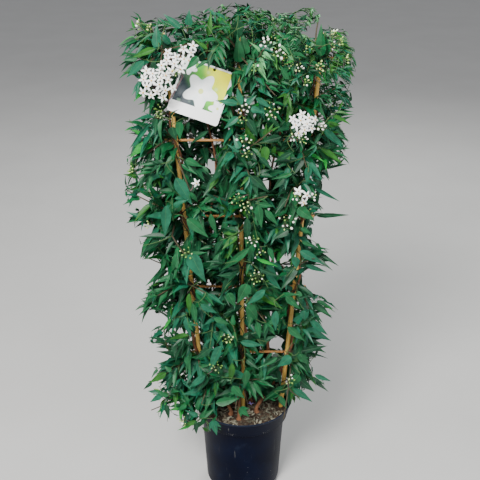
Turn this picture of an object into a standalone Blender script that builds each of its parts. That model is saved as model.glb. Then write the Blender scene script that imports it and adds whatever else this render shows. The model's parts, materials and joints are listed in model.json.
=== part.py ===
"""A climbing jasmine in a black nursery pot, trained on a fan of three bamboo canes with five crossbars.

Everything is in metres. The origin is the middle of the pot's underside, +Z is up and the front is -Y.
"""

import math
import random

import bmesh
import bpy
from mathutils import Matrix, Quaternion, Vector
from mathutils.bvhtree import BVHTree

UP = Vector((0, 0, 1))
TURN = 2 * math.pi
GAP = 0.0003

# The pot, a turned shell with a deep flared collar.
POT_HEIGHT = 0.235
POT_FOOT_R = 0.092
POT_SHOULDER_R = 0.1025
COLLAR_FOOT_R = 0.1105
COLLAR_TOP_R = 0.120
COLLAR_DEPTH = 0.040
POT_WALL = 0.0024
POT_FLOOR = 0.003
POT_FOOT_HEIGHT = 0.010
POT_FOOT_TURN = 0.006
POT_STEP_SOFT = 0.0025
POT_LIP = 0.0010
POT_STEPS = 26
POT_WELD = 0.00005
DRAIN_COUNT = 6
DRAIN_R = 0.007
DRAIN_RING_R = 0.066

# The compost that fills it.
SOIL_TOP = 0.208

# The fan of canes, and how far apart its outer canes stand at the soil and at their tips.
CANE_FOOT_Z = 0.045
CANE_TOP_Z = 1.135
CANE_FOOT_R = 0.0056
CANE_TOP_R = 0.0046
CANE_NODE_STEP = 0.185
CANE_NODE_SWELL = 0.0006
CANE_NODE_HALF = 0.003
FIRST_NODE_SHARE, FIRST_NODE_STAGGER = 0.62, 0.13
FAN_HALF_AT_SOIL = 0.095
FAN_HALF_AT_TOP = 0.165
MIDDLE_CANE_LEAN = -0.009

# The crossbars, tied on behind the canes.
BAR_COUNT = 5
BAR_FIRST_Z = 0.361
BAR_STEP = 0.180
BAR_R = 0.0029
BAR_OVERHANG = 0.028
TIE_R = 0.0007
TIE_SLACK = 0.0016
TIE_FRONT_SPREAD = 0.85
TIE_SIDE_SPREAD = 1.25

# The stems: three twine up the canes, two climb behind the crossbars.
STEM_FOOT_R = 0.0042
STEM_TIP_R = 0.0016
STEM_FLARE = 1.6
STEM_FLARE_HEIGHT = 0.012
STEM_JOINS_CANE_Z = 0.300
STEM_TOP_Z = 1.120
TWINE_CLEAR = 0.0010
TWINE_OVER_TIE = 0.0018
TWINE_POINTS = 6
CLIMB_POINTS = 4
BACK_STEM_Y = 0.0195
BACK_STEM_SWAY = 0.010
BACK_STEM_WAVE = 1.7 * BAR_STEP
BACK_STEM_PHASE = 4.0
BEND_SHARES = (0.35, 0.15, 0.6)
BEND_STEPS = (0.3, 0.55, 0.8)

# The crown's reach to the left and right at several heights, then to the front and back.
REACH = (
    (0.19, 0.230, 0.160),
    (0.28, 0.238, 0.208),
    (0.40, 0.216, 0.196),
    (0.52, 0.232, 0.190),
    (0.62, 0.232, 0.184),
    (0.76, 0.274, 0.206),
    (0.88, 0.268, 0.218),
    (1.00, 0.252, 0.226),
    (1.10, 0.260, 0.234),
    (1.20, 0.216, 0.198),
)
CROWN_TOP = 1.186
CROWN_ROUNDING = 0.028
CROWN_HALF_WIDE = 0.28
TIP_MARGIN = 0.003
FRONT_REACH_LOW, FRONT_REACH_HIGH = 0.118, 0.140
BACK_REACH_LOW, BACK_REACH_HIGH = 0.105, 0.122
CORNER_POWER = 2.6
CROWN_FLOOR = 0.216
SKIRT_FLOOR = 0.196

# Windows that go right through the crown on a line from an eye in front of it: x, z and radius at the fan.
EYE = Vector((0, -1.78, 1.465))
WINDOWS = (
    (-0.072, 0.842, 0.016),
    (0.062, 0.850, 0.020),
    (0.055, 0.800, 0.014),
    (0.098, 0.622, 0.013),
    (0.083, 0.392, 0.016),
    (-0.148, 0.420, 0.014),
    (0.010, 0.990, 0.012),
)

# How the foliage is shared out between masses.
BACK_PLANE_Y = 0.0135
TIER_LOWS = (0.286, 0.452, 0.632, 0.812, 0.992)
LEFT_STAGGER, MIDDLE_STAGGER, RIGHT_STAGGER = -0.030, 0.045, 0.010
TIER_TILT = 0.22
MASS_GAP = 0.0004
FAR = 9.0
FRONT_FOOT_OVER_BAR = 0.012
BACK_FOOT_UNDER_BAR = 0.035
SKIRT_FOOT_Z = 0.262

# The growth rule: tips are sown evenly and each grows from the nearest wood.
TIPS_PER_MASS = 5
TIP_CANDIDATES = 14
LATERAL_R = 0.0026
SHOOT_R = 0.0020
TWIG_TIP_R = 0.0012
PARENT_PULL = 0.4
ARC_BEND = 0.4
HEADING_WEIGHT = 0.35
LATERAL_TRIES = 400
LATERAL_SHORTEST = 0.030
LATERAL_KNEE = 0.010
LATERAL_RISE = 0.8
LATERAL_ARCH, SHOOT_ARCH = 0.05, 0.06
SHOOT_SHORTEST = 0.035
SHOOT_TRIES = 15
TWIG_SIDES = 3
LATERAL_SEGMENTS = 2
SHOOT_SEGMENTS = 2
LEAF_LONG, LEAF_SHORT = 0.108, 0.078
LEAF_WIDE = 0.41
LEAF_THICK = 0.0045
LEAF_WIDEST = 0.38
LEAF_DROOP = 0.10
LEAF_STEP = 0.018
LEAF_SHRINK = 0.05
LEAF_TURN = math.radians(137.5)
LEAF_TRIES = 7
LEAVES_PER_MASS = 21
LEAF_SPACING = 0.0025
LEAF_ALONG, LEAF_ASIDE, LEAF_OUT = 0.35, 0.85, 0.30
LEAF_HANG = (0.25, 0.75)
LEAF_FACE_UP, LEAF_FACE_OUT = 0.7, 0.6
OUT_SIDEWAYS = 2.2
FIRST_LEAF, LAST_LEAF = 0.22, 0.985
END_LEAF_FROM = 0.9
LIMB_CLEARANCE = 0.0007
LIMB_GUARD = 1.06
LIMB_SIDES, WIRE_SIDES, POT_SIDES = 8, 6, 36
POT_CLEARANCE = 0.003
SOIL_CLEARANCE = 0.0015
BORE_CLEARANCE = 0.006

# The open blossom that shows from a step away: centre, radius and number of flowers of each cluster.
BLOSSOM = {
    "leaves_front_left_5": (
        ((-0.174, -0.104, 1.052), 0.034, 7),
        ((-0.143, -0.106, 1.094), 0.027, 4),
        ((-0.110, -0.104, 1.115), 0.018, 2),
    ),
    "leaves_front_left_4": (((-0.106, -0.110, 0.845), 0.010, 1),),
    "leaves_front_right_4": (((0.122, -0.112, 0.974), 0.027, 5),),
    "leaves_front_right_3": (((0.125, -0.108, 0.818), 0.018, 3),),
}
FLOWER_R = 0.0115
FLOWER_RISE, FLOWER_FOOT = 0.0010, 0.0022
PEDICEL_R = 0.0008
STALK_BACK, STALK_DOWN = 0.9, 0.3
CLUSTER_STALK_R = 0.8 * SHOOT_R
CLUSTER_BULGE = 0.45
CLUSTER_FACING = Vector((0, -1, 0.25))
FIRST_FLOWER, FLOWER_STRETCH = 0.04, 0.8

# The picture label, hung by a loop from the top crossbar.
LABEL_WIDE = 0.110
LABEL_TALL = 0.116
LABEL_THICK = 0.0011
LABEL_CENTRE = Vector((-0.088, -0.060, 1.027))
LABEL_LEAN = math.radians(26)
LABEL_ROLL = math.radians(19)
LABEL_TURN = Quaternion((1, 0, 0), math.pi / 2 - LABEL_LEAN) @ Quaternion((0, 0, 1), -LABEL_ROLL)
LABEL_HOLE_R = 0.003
LABEL_HOLE_ACROSS = 0.012
LABEL_HOLE_DOWN = 0.0065
LABEL_ROOM = 0.085
LABEL_GUARD = 0.002
LOOP_R = 0.0009
LOOP_TURN_R = 0.0050
LOOP_LIFT = 0.0013
LOOP_TURN_POINTS = 7


def clear_scene():
    for obj in list(bpy.data.objects):
        bpy.data.objects.remove(obj)


def collection(name):
    made = bpy.data.collections.new(name)
    bpy.context.scene.collection.children.link(made)
    return made


def material(name, colour, roughness):
    made = bpy.data.materials.new(name)
    made.use_nodes = True
    shader = made.node_tree.nodes["Principled BSDF"]
    shader.inputs["Base Color"].default_value = (*colour, 1)
    shader.inputs["Roughness"].default_value = roughness
    shader.inputs["Metallic"].default_value = 0.0
    return made


def mesh_object(name, shape, where, finish):
    """A new object in the collection `where` from (points, faces)."""
    points, faces = shape
    mesh = bpy.data.meshes.new(name)
    mesh.from_pydata([tuple(p) for p in points], [], faces)
    mesh.update()
    mesh.materials.append(finish)
    obj = bpy.data.objects.new(name, mesh)
    where.objects.link(obj)
    return obj


def between(low, high, share):
    return low + (high - low) * share


def share_of(value, low, high):
    return min(1.0, max(0.0, (value - low) / (high - low)))


# Plain shapes as points and faces.


def tube(points, radii, sides):
    """A closed tube along the points, its rings carried along without twist."""
    along = [(b - a).normalized() for a, b in zip(points, points[1:])]
    heading = [along[0]] + [(a + b).normalized() for a, b in zip(along, along[1:])] + [along[-1]]
    side = heading[0].orthogonal().normalized()
    ring_points = []
    for i, (point, radius) in enumerate(zip(points, radii)):
        if i:
            side = heading[i - 1].rotation_difference(heading[i]) @ side
        other = heading[i].cross(side)
        for k in range(sides):
            angle = TURN * k / sides
            ring_points.append(point + radius * (math.cos(angle) * side + math.sin(angle) * other))
    faces = []
    for i in range(len(points) - 1):
        for k in range(sides):
            near, far = i * sides, (i + 1) * sides
            nxt = (k + 1) % sides
            faces.append((near + k, near + nxt, far + nxt, far + k))
    last = (len(points) - 1) * sides
    faces.append(tuple(reversed(range(sides))))
    faces.append(tuple(range(last, last + sides)))
    return ring_points, faces


def closed_ring(points, radius, sides):
    """A wire whose ends meet, along a loop of points that lie nearly in one plane."""
    count = len(points)
    middle = sum(points, Vector()) / count
    flat = Vector()
    for a, b in zip(points, points[1:] + points[:1]):
        flat += (a - middle).cross(b - middle)
    flat.normalize()
    made = []
    for i, point in enumerate(points):
        heading = (points[(i + 1) % count] - points[i - 1]).normalized()
        side = heading.cross(flat).normalized()
        other = heading.cross(side)
        for k in range(sides):
            angle = TURN * k / sides
            made.append(point + radius * (math.cos(angle) * side + math.sin(angle) * other))
    faces = []
    for i in range(count):
        far = ((i + 1) % count) * sides
        for k in range(sides):
            nxt = (k + 1) % sides
            faces.append((i * sides + k, i * sides + nxt, far + nxt, far + k))
    return made, faces


def blade(root, axis, face, length, width):
    """A leaf of four faces: a fold that runs from root to tip, over a line from side to side."""
    across = axis.cross(face).normalized()
    waist = root + axis * length * LEAF_WIDEST - face * LEAF_THICK
    sides = [waist + across * sign * width / 2 for sign in (1, -1)]
    tip = root + axis * length - face * length * LEAF_DROOP
    return [root, sides[0], sides[1], tip], [(0, 1, 3), (0, 3, 2), (0, 2, 1), (3, 1, 2)]


def corolla(centre, facing):
    """An open flower: five corners round a raised middle and a small foot."""
    side = facing.orthogonal().normalized()
    other = facing.cross(side)
    points = []
    for k in range(5):
        angle = TURN * k / 5
        points.append(centre + FLOWER_R * (math.cos(angle) * side + math.sin(angle) * other))
    points += [centre + facing * FLOWER_RISE, centre - facing * FLOWER_FOOT]
    faces = []
    for k in range(5):
        nxt = (k + 1) % 5
        faces += [(k, nxt, 5), (nxt, k, 6)]
    return points, faces


def outward(shape):
    """The same shape with every face pointing out."""
    bm = bmesh.new()
    made = [bm.verts.new(p) for p in shape[0]]
    for face in shape[1]:
        bm.faces.new([made[i] for i in face])
    bmesh.ops.recalc_face_normals(bm, faces=bm.faces)
    points = [v.co.copy() for v in bm.verts]
    bm.verts.index_update()
    faces = [tuple(v.index for v in f.verts) for f in bm.faces]
    bm.free()
    return points, faces


# Where the fan's pieces stand.


def fan_half(z):
    """Half the distance between the outer canes at a height."""
    return between(FAN_HALF_AT_SOIL, FAN_HALF_AT_TOP, (z - SOIL_TOP) / (CANE_TOP_Z - SOIL_TOP))


def cane_x(side, z):
    """The x of the left (-1), middle (0) or right (1) cane at a height."""
    if side:
        return side * fan_half(z)
    return MIDDLE_CANE_LEAN * (z - SOIL_TOP) / (CANE_TOP_Z - SOIL_TOP)


def cane_radius(z):
    return between(CANE_FOOT_R, CANE_TOP_R, share_of(z, CANE_FOOT_Z, CANE_TOP_Z))


def bar_z(number):
    return BAR_FIRST_Z + BAR_STEP * (number - 1)


def bar_y(number):
    return cane_radius(bar_z(number)) + CANE_NODE_SWELL + GAP + BAR_R


def cane_rings(side):
    """Centres and radii up a cane, with a swollen ring at each of its nodes."""
    first_node = CANE_FOOT_Z + CANE_NODE_STEP * (FIRST_NODE_SHARE + FIRST_NODE_STAGGER * side)
    heights = [(CANE_FOOT_Z, 0.0)]
    node = first_node
    while node < CANE_TOP_Z - CANE_NODE_HALF:
        for offset, swell in ((-1, 0.0), (0, CANE_NODE_SWELL), (1, 0.0)):
            heights.append((node + offset * CANE_NODE_HALF, swell))
        node += CANE_NODE_STEP
    heights.append((CANE_TOP_Z, 0.0))
    points = [Vector((cane_x(side, z), 0, z)) for z, _ in heights]
    return points, [cane_radius(z) + swell for z, swell in heights]


def tie_points(side, number):
    """A wire that slants across the front of a cane and closes round the crossbar behind it."""
    z = bar_z(number)
    hugs = GAP + TIE_R
    front = cane_radius(z) + CANE_NODE_SWELL + hugs
    above = BAR_R + hugs + TIE_SLACK
    half = (
        (TIE_FRONT_SPREAD * front, -front, above / 2),
        (TIE_SIDE_SPREAD * front, bar_y(number), above),
        (TIE_FRONT_SPREAD * front / 2, bar_y(number) + BAR_R + hugs, above / 2),
    )
    slant = 1 if (number + side) % 2 else -1
    right = [Vector((x, y, rise * slant)) for x, y, rise in half]
    left = [Vector((-p.x, p.y, -p.z)) for p in reversed(right)]
    return [Vector((cane_x(side, z), 0, z)) + p for p in right + left]


# The stems' courses.

STEMS = {
    "stem_left": {"side": -1, "foot": Vector((-0.030, -0.036)), "hand": -1},
    "stem_middle": {"side": 0, "foot": Vector((-0.010, -0.056)), "hand": 1},
    "stem_right": {"side": 1, "foot": Vector((0.034, -0.026)), "hand": 1},
    "stem_back_left": {"side": -0.5, "foot": Vector((-0.022, 0.012)), "hand": 0},
    "stem_back_right": {"side": 0.5, "foot": Vector((0.018, 0.020)), "hand": 0},
}


def stem_radius(z):
    foot = SOIL_TOP + GAP
    radius = between(STEM_FOOT_R, STEM_TIP_R, share_of(z, foot, STEM_TOP_Z))
    flare = max(0.0, 1 - (z - foot) / STEM_FLARE_HEIGHT)
    return radius * (1 + (STEM_FLARE - 1) * flare)


def twining_point(stem, z):
    """Where a stem that twines round a cane is at a height: in front of the cane's tie at every crossbar."""
    angle = TURN * (z - BAR_FIRST_Z) / BAR_STEP * stem["hand"]
    over_tie = TWINE_OVER_TIE * max(0.0, math.cos(angle)) ** 2
    radius = cane_radius(z) + CANE_NODE_SWELL + stem_radius(z) + TWINE_CLEAR + over_tie
    return Vector((cane_x(stem["side"], z) + radius * math.sin(angle), -radius * math.cos(angle), z))


def climbing_point(stem, z):
    """Where a stem that climbs behind the crossbars is at a height."""
    phase = TURN * (z - BAR_FIRST_Z) / BACK_STEM_WAVE + stem["side"] * BACK_STEM_PHASE
    sway = BACK_STEM_SWAY * math.sin(phase)
    return Vector((stem["side"] * fan_half(z) + sway, BACK_STEM_Y, z))


def stem_course(name):
    """The points and radii of a stem, from its flat cut on the soil to its tip."""
    stem = STEMS[name]
    twines = stem["hand"] != 0
    course = twining_point if twines else climbing_point
    foot = Vector((*stem["foot"], SOIL_TOP + GAP))
    upright = foot + UP * STEM_FLARE_HEIGHT
    joins = course(stem, STEM_JOINS_CANE_Z)
    bend = Vector([between(a, b, share) for a, b, share in zip(foot, joins, BEND_SHARES)])
    points = [foot, upright]
    for share in BEND_STEPS:
        points.append(upright.lerp(bend, share).lerp(bend.lerp(joins, share), share))
    climb = STEM_TOP_Z - STEM_JOINS_CANE_Z
    steps = round(climb / BAR_STEP * (TWINE_POINTS if twines else CLIMB_POINTS))
    points += [course(stem, STEM_JOINS_CANE_Z + climb * i / steps) for i in range(steps + 1)]
    return points, [stem_radius(p.z) for p in points]


def stem_at(name, z):
    """The centre, heading and radius of a stem at a height."""
    points, radii = stem_course(name)
    for i in range(1, len(points)):
        if points[i].z >= z:
            share = share_of(z, points[i - 1].z, points[i].z)
            heading = (points[i] - points[i - 1]).normalized()
            return points[i - 1].lerp(points[i], share), heading, between(radii[i - 1], radii[i], share)
    raise ValueError(f"{name} doesn't reach {z}")


# The crown's reach and the space of each mass.


def reach_at(z):
    """The crown's reach to the left and to the right at a height."""
    rows = list(zip(REACH, REACH[1:]))
    for (low, low_left, low_right), (high, high_left, high_right) in rows:
        if z <= high:
            share = share_of(z, low, high)
            return between(low_left, high_left, share), between(low_right, high_right, share)
    return REACH[-1][1:]


def in_window(p):
    """Whether a point hides one of the windows from the eye in front."""
    stretch = -EYE.y / (p.y - EYE.y)
    x, z = p.x * stretch, EYE.z + (p.z - EYE.z) * stretch
    return any(math.hypot(x - wx, z - wz) < radius for wx, wz, radius in WINDOWS)


def hides_label(p):
    """Whether a point is in the room kept free in front of the label."""
    across, up, facing = label_frame()
    offset = p - LABEL_CENTRE
    beside = abs(offset.dot(across)) < LABEL_WIDE / 2 and abs(offset.dot(up)) < LABEL_TALL / 2
    return beside and 0 < offset.dot(facing) < LABEL_ROOM


def within_reach(p):
    floor = SKIRT_FLOOR if p.x < 0 and p.y < 0 else CROWN_FLOOR
    if p.z < floor or in_window(p) or hides_label(p):
        return False
    left, right = reach_at(p.z)
    share = share_of(p.z, SOIL_TOP, CROWN_TOP)
    front = between(FRONT_REACH_LOW, FRONT_REACH_HIGH, share)
    back = between(BACK_REACH_LOW, BACK_REACH_HIGH, share)
    across = abs(p.x) / (left if p.x < 0 else right)
    deep = abs(p.y) / (front if p.y < 0 else back)
    round_top = CROWN_TOP - CROWN_ROUNDING * (across**2 + deep**2)
    return across**CORNER_POWER + deep**CORNER_POWER < 1 and p.z < round_top


class Space:
    """The room one mass keeps to, between two planes that fan out from the pot and two sloping floors."""

    def __init__(self, left, right, low, high, tilt, front):
        self.left, self.right = left, right
        self.low, self.high = low, high
        self.tilt, self.front = tilt, front

    def level(self, p):
        return p.z - self.tilt * p.x

    def holds(self, p, margin=0.0):
        edge = MASS_GAP + margin
        across = fan_half(p.z)
        if not (self.left * across + edge < p.x < self.right * across - edge):
            return False
        if not (self.low + edge < self.level(p) < self.high - edge):
            return False
        if self.front != (p.y < BACK_PLANE_Y) or abs(p.y - BACK_PLANE_Y) < edge:
            return False
        return within_reach(p)

    def sample(self, rng):
        """A point of the space, drawn evenly, well inside it."""
        while True:
            z = rng.uniform(SKIRT_FLOOR, CROWN_TOP)
            y = rng.uniform(-FRONT_REACH_HIGH, 0) if self.front else rng.uniform(0, BACK_REACH_HIGH)
            p = Vector((rng.uniform(-CROWN_HALF_WIDE, CROWN_HALF_WIDE), y, z))
            if self.holds(p, TIP_MARGIN):
                return p


def spaces():
    """Every mass's name with its space, the stem that feeds it and the height of its foot."""
    made = {}
    skirt_top = TIER_LOWS[0] + LEFT_STAGGER
    columns = (
        ("front_left", -FAR, -0.5, "stem_left", True, -TIER_TILT, LEFT_STAGGER),
        ("front_middle", -0.5, 0.5, "stem_middle", True, -TIER_TILT, MIDDLE_STAGGER),
        ("front_right", 0.5, FAR, "stem_right", True, TIER_TILT, RIGHT_STAGGER),
        ("back_left", -FAR, 0.0, "stem_back_left", False, TIER_TILT, MIDDLE_STAGGER),
        ("back_right", 0.0, FAR, "stem_back_right", False, -TIER_TILT, 0.0),
    )
    for name, left, right, stem, front, tilt, stagger in columns:
        for tier in range(BAR_COUNT):
            low = TIER_LOWS[tier] + stagger if tier else -FAR
            if tier == 0 and name == "front_left":
                low = skirt_top
            high = TIER_LOWS[tier + 1] + stagger if tier + 1 < BAR_COUNT else FAR
            foot = bar_z(tier + 1) + (FRONT_FOOT_OVER_BAR if front else -BACK_FOOT_UNDER_BAR)
            made[f"leaves_{name}_{tier + 1}"] = (Space(left, right, low, high, tilt, front), stem, foot)
    skirt = Space(-FAR, -0.5, -FAR, skirt_top, -TIER_TILT, True)
    made["leaves_skirt"] = (skirt, "stem_left", SKIRT_FOOT_Z)
    return made


# The growth rule.


def arc(start, heading, end, segments, arch):
    """A twig's points: it leaves between its parent's heading and its own, arches and bends to its tip."""
    length = (end - start).length
    leaves = (heading * PARENT_PULL + (end - start) / length * (1 - PARENT_PULL)).normalized()
    bend = start + leaves * length * ARC_BEND + UP * arch * length
    points = []
    for i in range(segments + 1):
        t = i / segments
        points.append(start.lerp(bend, t).lerp(bend.lerp(end, t), t))
    return points


def nearest_wood(twigs, target):
    """The point, heading and radius on the wood that suits a new tip best: near it, and pointing its way."""
    best = None
    for points, radii in twigs:
        for i in range(1, len(points)):
            heading = (points[i] - points[i - 1]).normalized()
            reach = target - points[i]
            cost = reach.length * (1 + HEADING_WEIGHT * (1 - heading.dot(reach.normalized())))
            if best is None or cost < best[0]:
                best = (cost, points[i], heading, radii[i])
    return best[1:]


def leaf_axis(heading, turn, point, rng):
    """The way a leaf points: aside from its shoot, out of the crown and hanging; and the way it faces."""
    side = Quaternion(heading, turn) @ heading.orthogonal().normalized()
    out = Vector((point.x * OUT_SIDEWAYS, -1.0 if point.y < BACK_PLANE_Y else 1.0, 0)).normalized()
    axis = LEAF_ALONG * heading + LEAF_ASIDE * side + LEAF_OUT * out - UP * rng.uniform(*LEAF_HANG)
    axis.normalize()
    face = UP * LEAF_FACE_UP + out * LEAF_FACE_OUT
    face = (face - axis * face.dot(axis)).normalized()
    return axis, face


def shape_tree(shapes):
    """One search tree of several (points, faces) shapes."""
    points, faces = [], []
    for shape_points, shape_faces in shapes:
        start = len(points)
        points.extend(shape_points)
        faces.extend(tuple(start + i for i in f) for f in shape_faces)
    return BVHTree.FromPolygons(points, faces)


def touches(shape, tree):
    return bool(BVHTree.FromPolygons(*shape).overlap(tree))


def lateral_course(space, stem_name, foot_z, limbs, rng):
    """A mass's own stem: from 0.3 mm off the stem that feeds it, out and up into the space."""
    centre, along, feeding_r = stem_at(stem_name, foot_z)
    for _ in range(LATERAL_TRIES):
        aim = space.sample(rng)
        away = aim - centre
        away -= along * away.dot(along)
        if away.length < LATERAL_SHORTEST:
            continue
        away.normalize()
        foot = centre + away * (feeding_r + GAP)
        knee = foot + away * LATERAL_KNEE
        rising = (away + UP * LATERAL_RISE).normalized()
        course = [foot] + arc(knee, rising, aim, LATERAL_SEGMENTS, LATERAL_ARCH)
        inside = all(space.holds(p, LATERAL_R) for p in course[1:])
        if inside and not touches(tube(course, [LATERAL_R + LIMB_CLEARANCE] * len(course), 6), limbs):
            return course
    raise ValueError(f"no room for the stem of a mass at {stem_name}, {foot_z}")


def taper(count, thick, thin):
    return [between(thick, thin, i / (count - 1)) for i in range(count)]


def grow(space, stem_name, foot_z, limbs, rng, blossom):
    """All the twigs, leaves and flowers of one mass, as closed shapes."""
    course = lateral_course(space, stem_name, foot_z, limbs["without"][stem_name], rng)
    twigs = [(course, taper(len(course), LATERAL_R, SHOOT_R))]
    shoots = [course]
    flowers = []
    for centre, radius, count in blossom:
        middle = Vector(centre)
        stalk_end = middle + Vector((0, radius * STALK_BACK, -radius * STALK_DOWN))
        start, heading, thick = nearest_wood(twigs, stalk_end)
        stalk = arc(start, heading, stalk_end, SHOOT_SEGMENTS, 0.0)
        twigs.append((stalk, taper(len(stalk), min(thick, SHOOT_R), CLUSTER_STALK_R)))
        flowers.extend(cluster(middle, stalk[-2:], radius, count))
    for _ in range(SHOOT_TRIES):
        if len(shoots) > TIPS_PER_MASS:
            break
        tips = [t[0][-1] for t in twigs]
        tries = [space.sample(rng) for _ in range(TIP_CANDIDATES)]
        tip = max(tries, key=lambda p: min((p - q).length for q in tips))
        start, heading, thick = nearest_wood(twigs, tip)
        if (tip - start).length < SHOOT_SHORTEST:
            continue
        shoot = arc(start, heading, tip, SHOOT_SEGMENTS, SHOOT_ARCH)
        radii = taper(len(shoot), min(thick, SHOOT_R), TWIG_TIP_R)
        guard = tube(shoot, [r + LIMB_CLEARANCE for r in radii], TWIG_SIDES)
        if all(space.holds(p, SHOOT_R) for p in shoot) and not touches(guard, limbs["all"]):
            twigs.append((shoot, radii))
            shoots.append(shoot)
    wood = [tube(points, radii, TWIG_SIDES) for points, radii in twigs]
    leaves = hang_leaves(space, shoots, limbs["all"], rng, flowers)
    return wood, flowers, leaves


def cluster(middle, stalk, radius, count):
    """A head of open flowers whose short stalks leave the last stretch of its own stalk one after another."""
    shapes = []
    for k in range(count):
        angle = LEAF_TURN * k
        spread = radius * math.sqrt((k + 0.5) / count)
        across = Vector((math.cos(angle), 0, math.sin(angle))) * spread
        bulge = CLUSTER_FACING * (radius * CLUSTER_BULGE * (1 - (spread / radius) ** 2))
        centre = middle + across + bulge
        root = stalk[1].lerp(stalk[0], FIRST_FLOWER + FLOWER_STRETCH * k / count)
        facing = (centre - root).normalized()
        shapes.append(outward(tube([root, centre], [PEDICEL_R] * 2, TWIG_SIDES)))
        shapes.append(outward(corolla(centre, facing)))
    return shapes


def hang_leaves(space, shoots, limbs, rng, flowers):
    """Leaves at even steps down every shoot, kept where they clear limbs, other shoots and each other."""
    spots = []
    guards = [BVHTree.FromPolygons(*tube(shoot, [LIMB_CLEARANCE] * len(shoot), 3)) for shoot in shoots]
    for shoot, guard in zip(shoots, guards):
        length = sum((b - a).length for a, b in zip(shoot, shoot[1:]))
        count = max(2, round(length / LEAF_STEP))
        turn = rng.uniform(0, TURN)
        for k in range(count):
            share = between(FIRST_LEAF, LAST_LEAF, k / (count - 1))
            spots.append((shoot, guard, share, turn + LEAF_TURN * k))
    rng.shuffle(spots)
    spots.sort(key=lambda spot: spot[2] < END_LEAF_FROM)
    leaves = []
    for shoot, own, share, turn in spots:
        if len(leaves) >= LEAVES_PER_MASS:
            break
        place = share * (len(shoot) - 1)
        i = min(int(place), len(shoot) - 2)
        point = shoot[i].lerp(shoot[i + 1], place - i)
        heading = (shoot[i + 1] - shoot[i]).normalized()
        for attempt in range(LEAF_TRIES):
            axis, face = leaf_axis(heading, turn + attempt * TURN / LEAF_TRIES, point, rng)
            length = rng.uniform(LEAF_SHORT, LEAF_LONG) * (1 - LEAF_SHRINK * attempt)
            leaf = blade(point, axis, face, length, length * LEAF_WIDE)
            if not all(space.holds(p) for p in leaf[0][1:]):
                continue
            grown = blade(point + axis * LEAF_SPACING, axis, face, length, length * LEAF_WIDE)
            others = leaves + flowers
            if touches(grown, limbs) or (others and touches(grown, shape_tree(others))):
                continue
            tree = BVHTree.FromPolygons(*leaf)
            if any(tree.overlap(guard) for guard in guards if guard is not own):
                continue
            leaves.append(leaf)
            break
    return leaves


# The pieces.


def inner_wall():
    """The pot's inner outline from the floor up, as radius and height."""
    shoulder_z = POT_HEIGHT - COLLAR_DEPTH
    return [
        (POT_FOOT_R - POT_WALL - POT_FOOT_TURN, POT_FLOOR),
        (POT_FOOT_R - POT_WALL, POT_FOOT_HEIGHT),
        (POT_SHOULDER_R - POT_WALL, shoulder_z - POT_STEP_SOFT),
        (COLLAR_FOOT_R - POT_WALL, shoulder_z + POT_STEP_SOFT),
        (COLLAR_TOP_R - POT_WALL, POT_HEIGHT),
    ]


def turned(name, profile, closed, parts, finish):
    """A turned solid from an outline of radii and heights that runs down its outer side."""
    count = len(profile)
    edges = [(i, (i + 1) % count) for i in range(count if closed else count - 1)]
    mesh = bpy.data.meshes.new(name)
    mesh.from_pydata([(r, 0, z) for r, z in profile], edges, [])
    mesh.materials.append(finish)
    obj = bpy.data.objects.new(name, mesh)
    parts.objects.link(obj)
    screw = obj.modifiers.new("turned", "SCREW")
    screw.axis = "Z"
    screw.steps = screw.render_steps = POT_STEPS
    screw.use_merge_vertices = True
    screw.merge_threshold = POT_WELD
    screw.use_smooth_shade = True
    return obj


def cut_by(obj, cutters):
    cut = obj.modifiers.new("cut", "BOOLEAN")
    cut.operation = "DIFFERENCE"
    cut.operand_type = "COLLECTION"
    cut.collection = cutters


def make_pot(parts, cutters, finish):
    """The pot: the lip, the flared collar and the body outside, then the wall inside, with drain holes."""
    shoulder_z = POT_HEIGHT - COLLAR_DEPTH
    outside = [
        (COLLAR_TOP_R, POT_HEIGHT),
        (COLLAR_TOP_R + POT_LIP, POT_HEIGHT - POT_LIP),
        (COLLAR_TOP_R - POT_LIP, POT_HEIGHT - 4 * POT_LIP),
        (COLLAR_FOOT_R, shoulder_z),
        (POT_SHOULDER_R, shoulder_z - POT_STEP_SOFT),
        (POT_FOOT_R, POT_FOOT_HEIGHT),
        (POT_FOOT_R - POT_FOOT_TURN, 0.0),
        (0.0, 0.0),
        (0.0, POT_FLOOR),
    ]
    pot = turned("pot", outside + inner_wall(), True, parts, finish)
    for k in range(DRAIN_COUNT):
        angle = TURN * (k + 0.5) / DRAIN_COUNT
        place = (DRAIN_RING_R * math.cos(angle), DRAIN_RING_R * math.sin(angle), 0)
        bpy.ops.mesh.primitive_cylinder_add(vertices=10, radius=DRAIN_R, depth=4 * POT_FLOOR, location=place)
        as_cutter(bpy.context.object, cutters, f"drain_cutter_{k + 1}")
    cut_by(pot, cutters)


def move_to(obj, where, name):
    """Names a new object and puts it in its collection alone."""
    for holder in list(obj.users_collection):
        holder.objects.unlink(obj)
    where.objects.link(obj)
    obj.name = name


def as_cutter(obj, where, name):
    move_to(obj, where, name)
    obj.hide_render = True
    obj.display_type = "WIRE"


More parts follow.
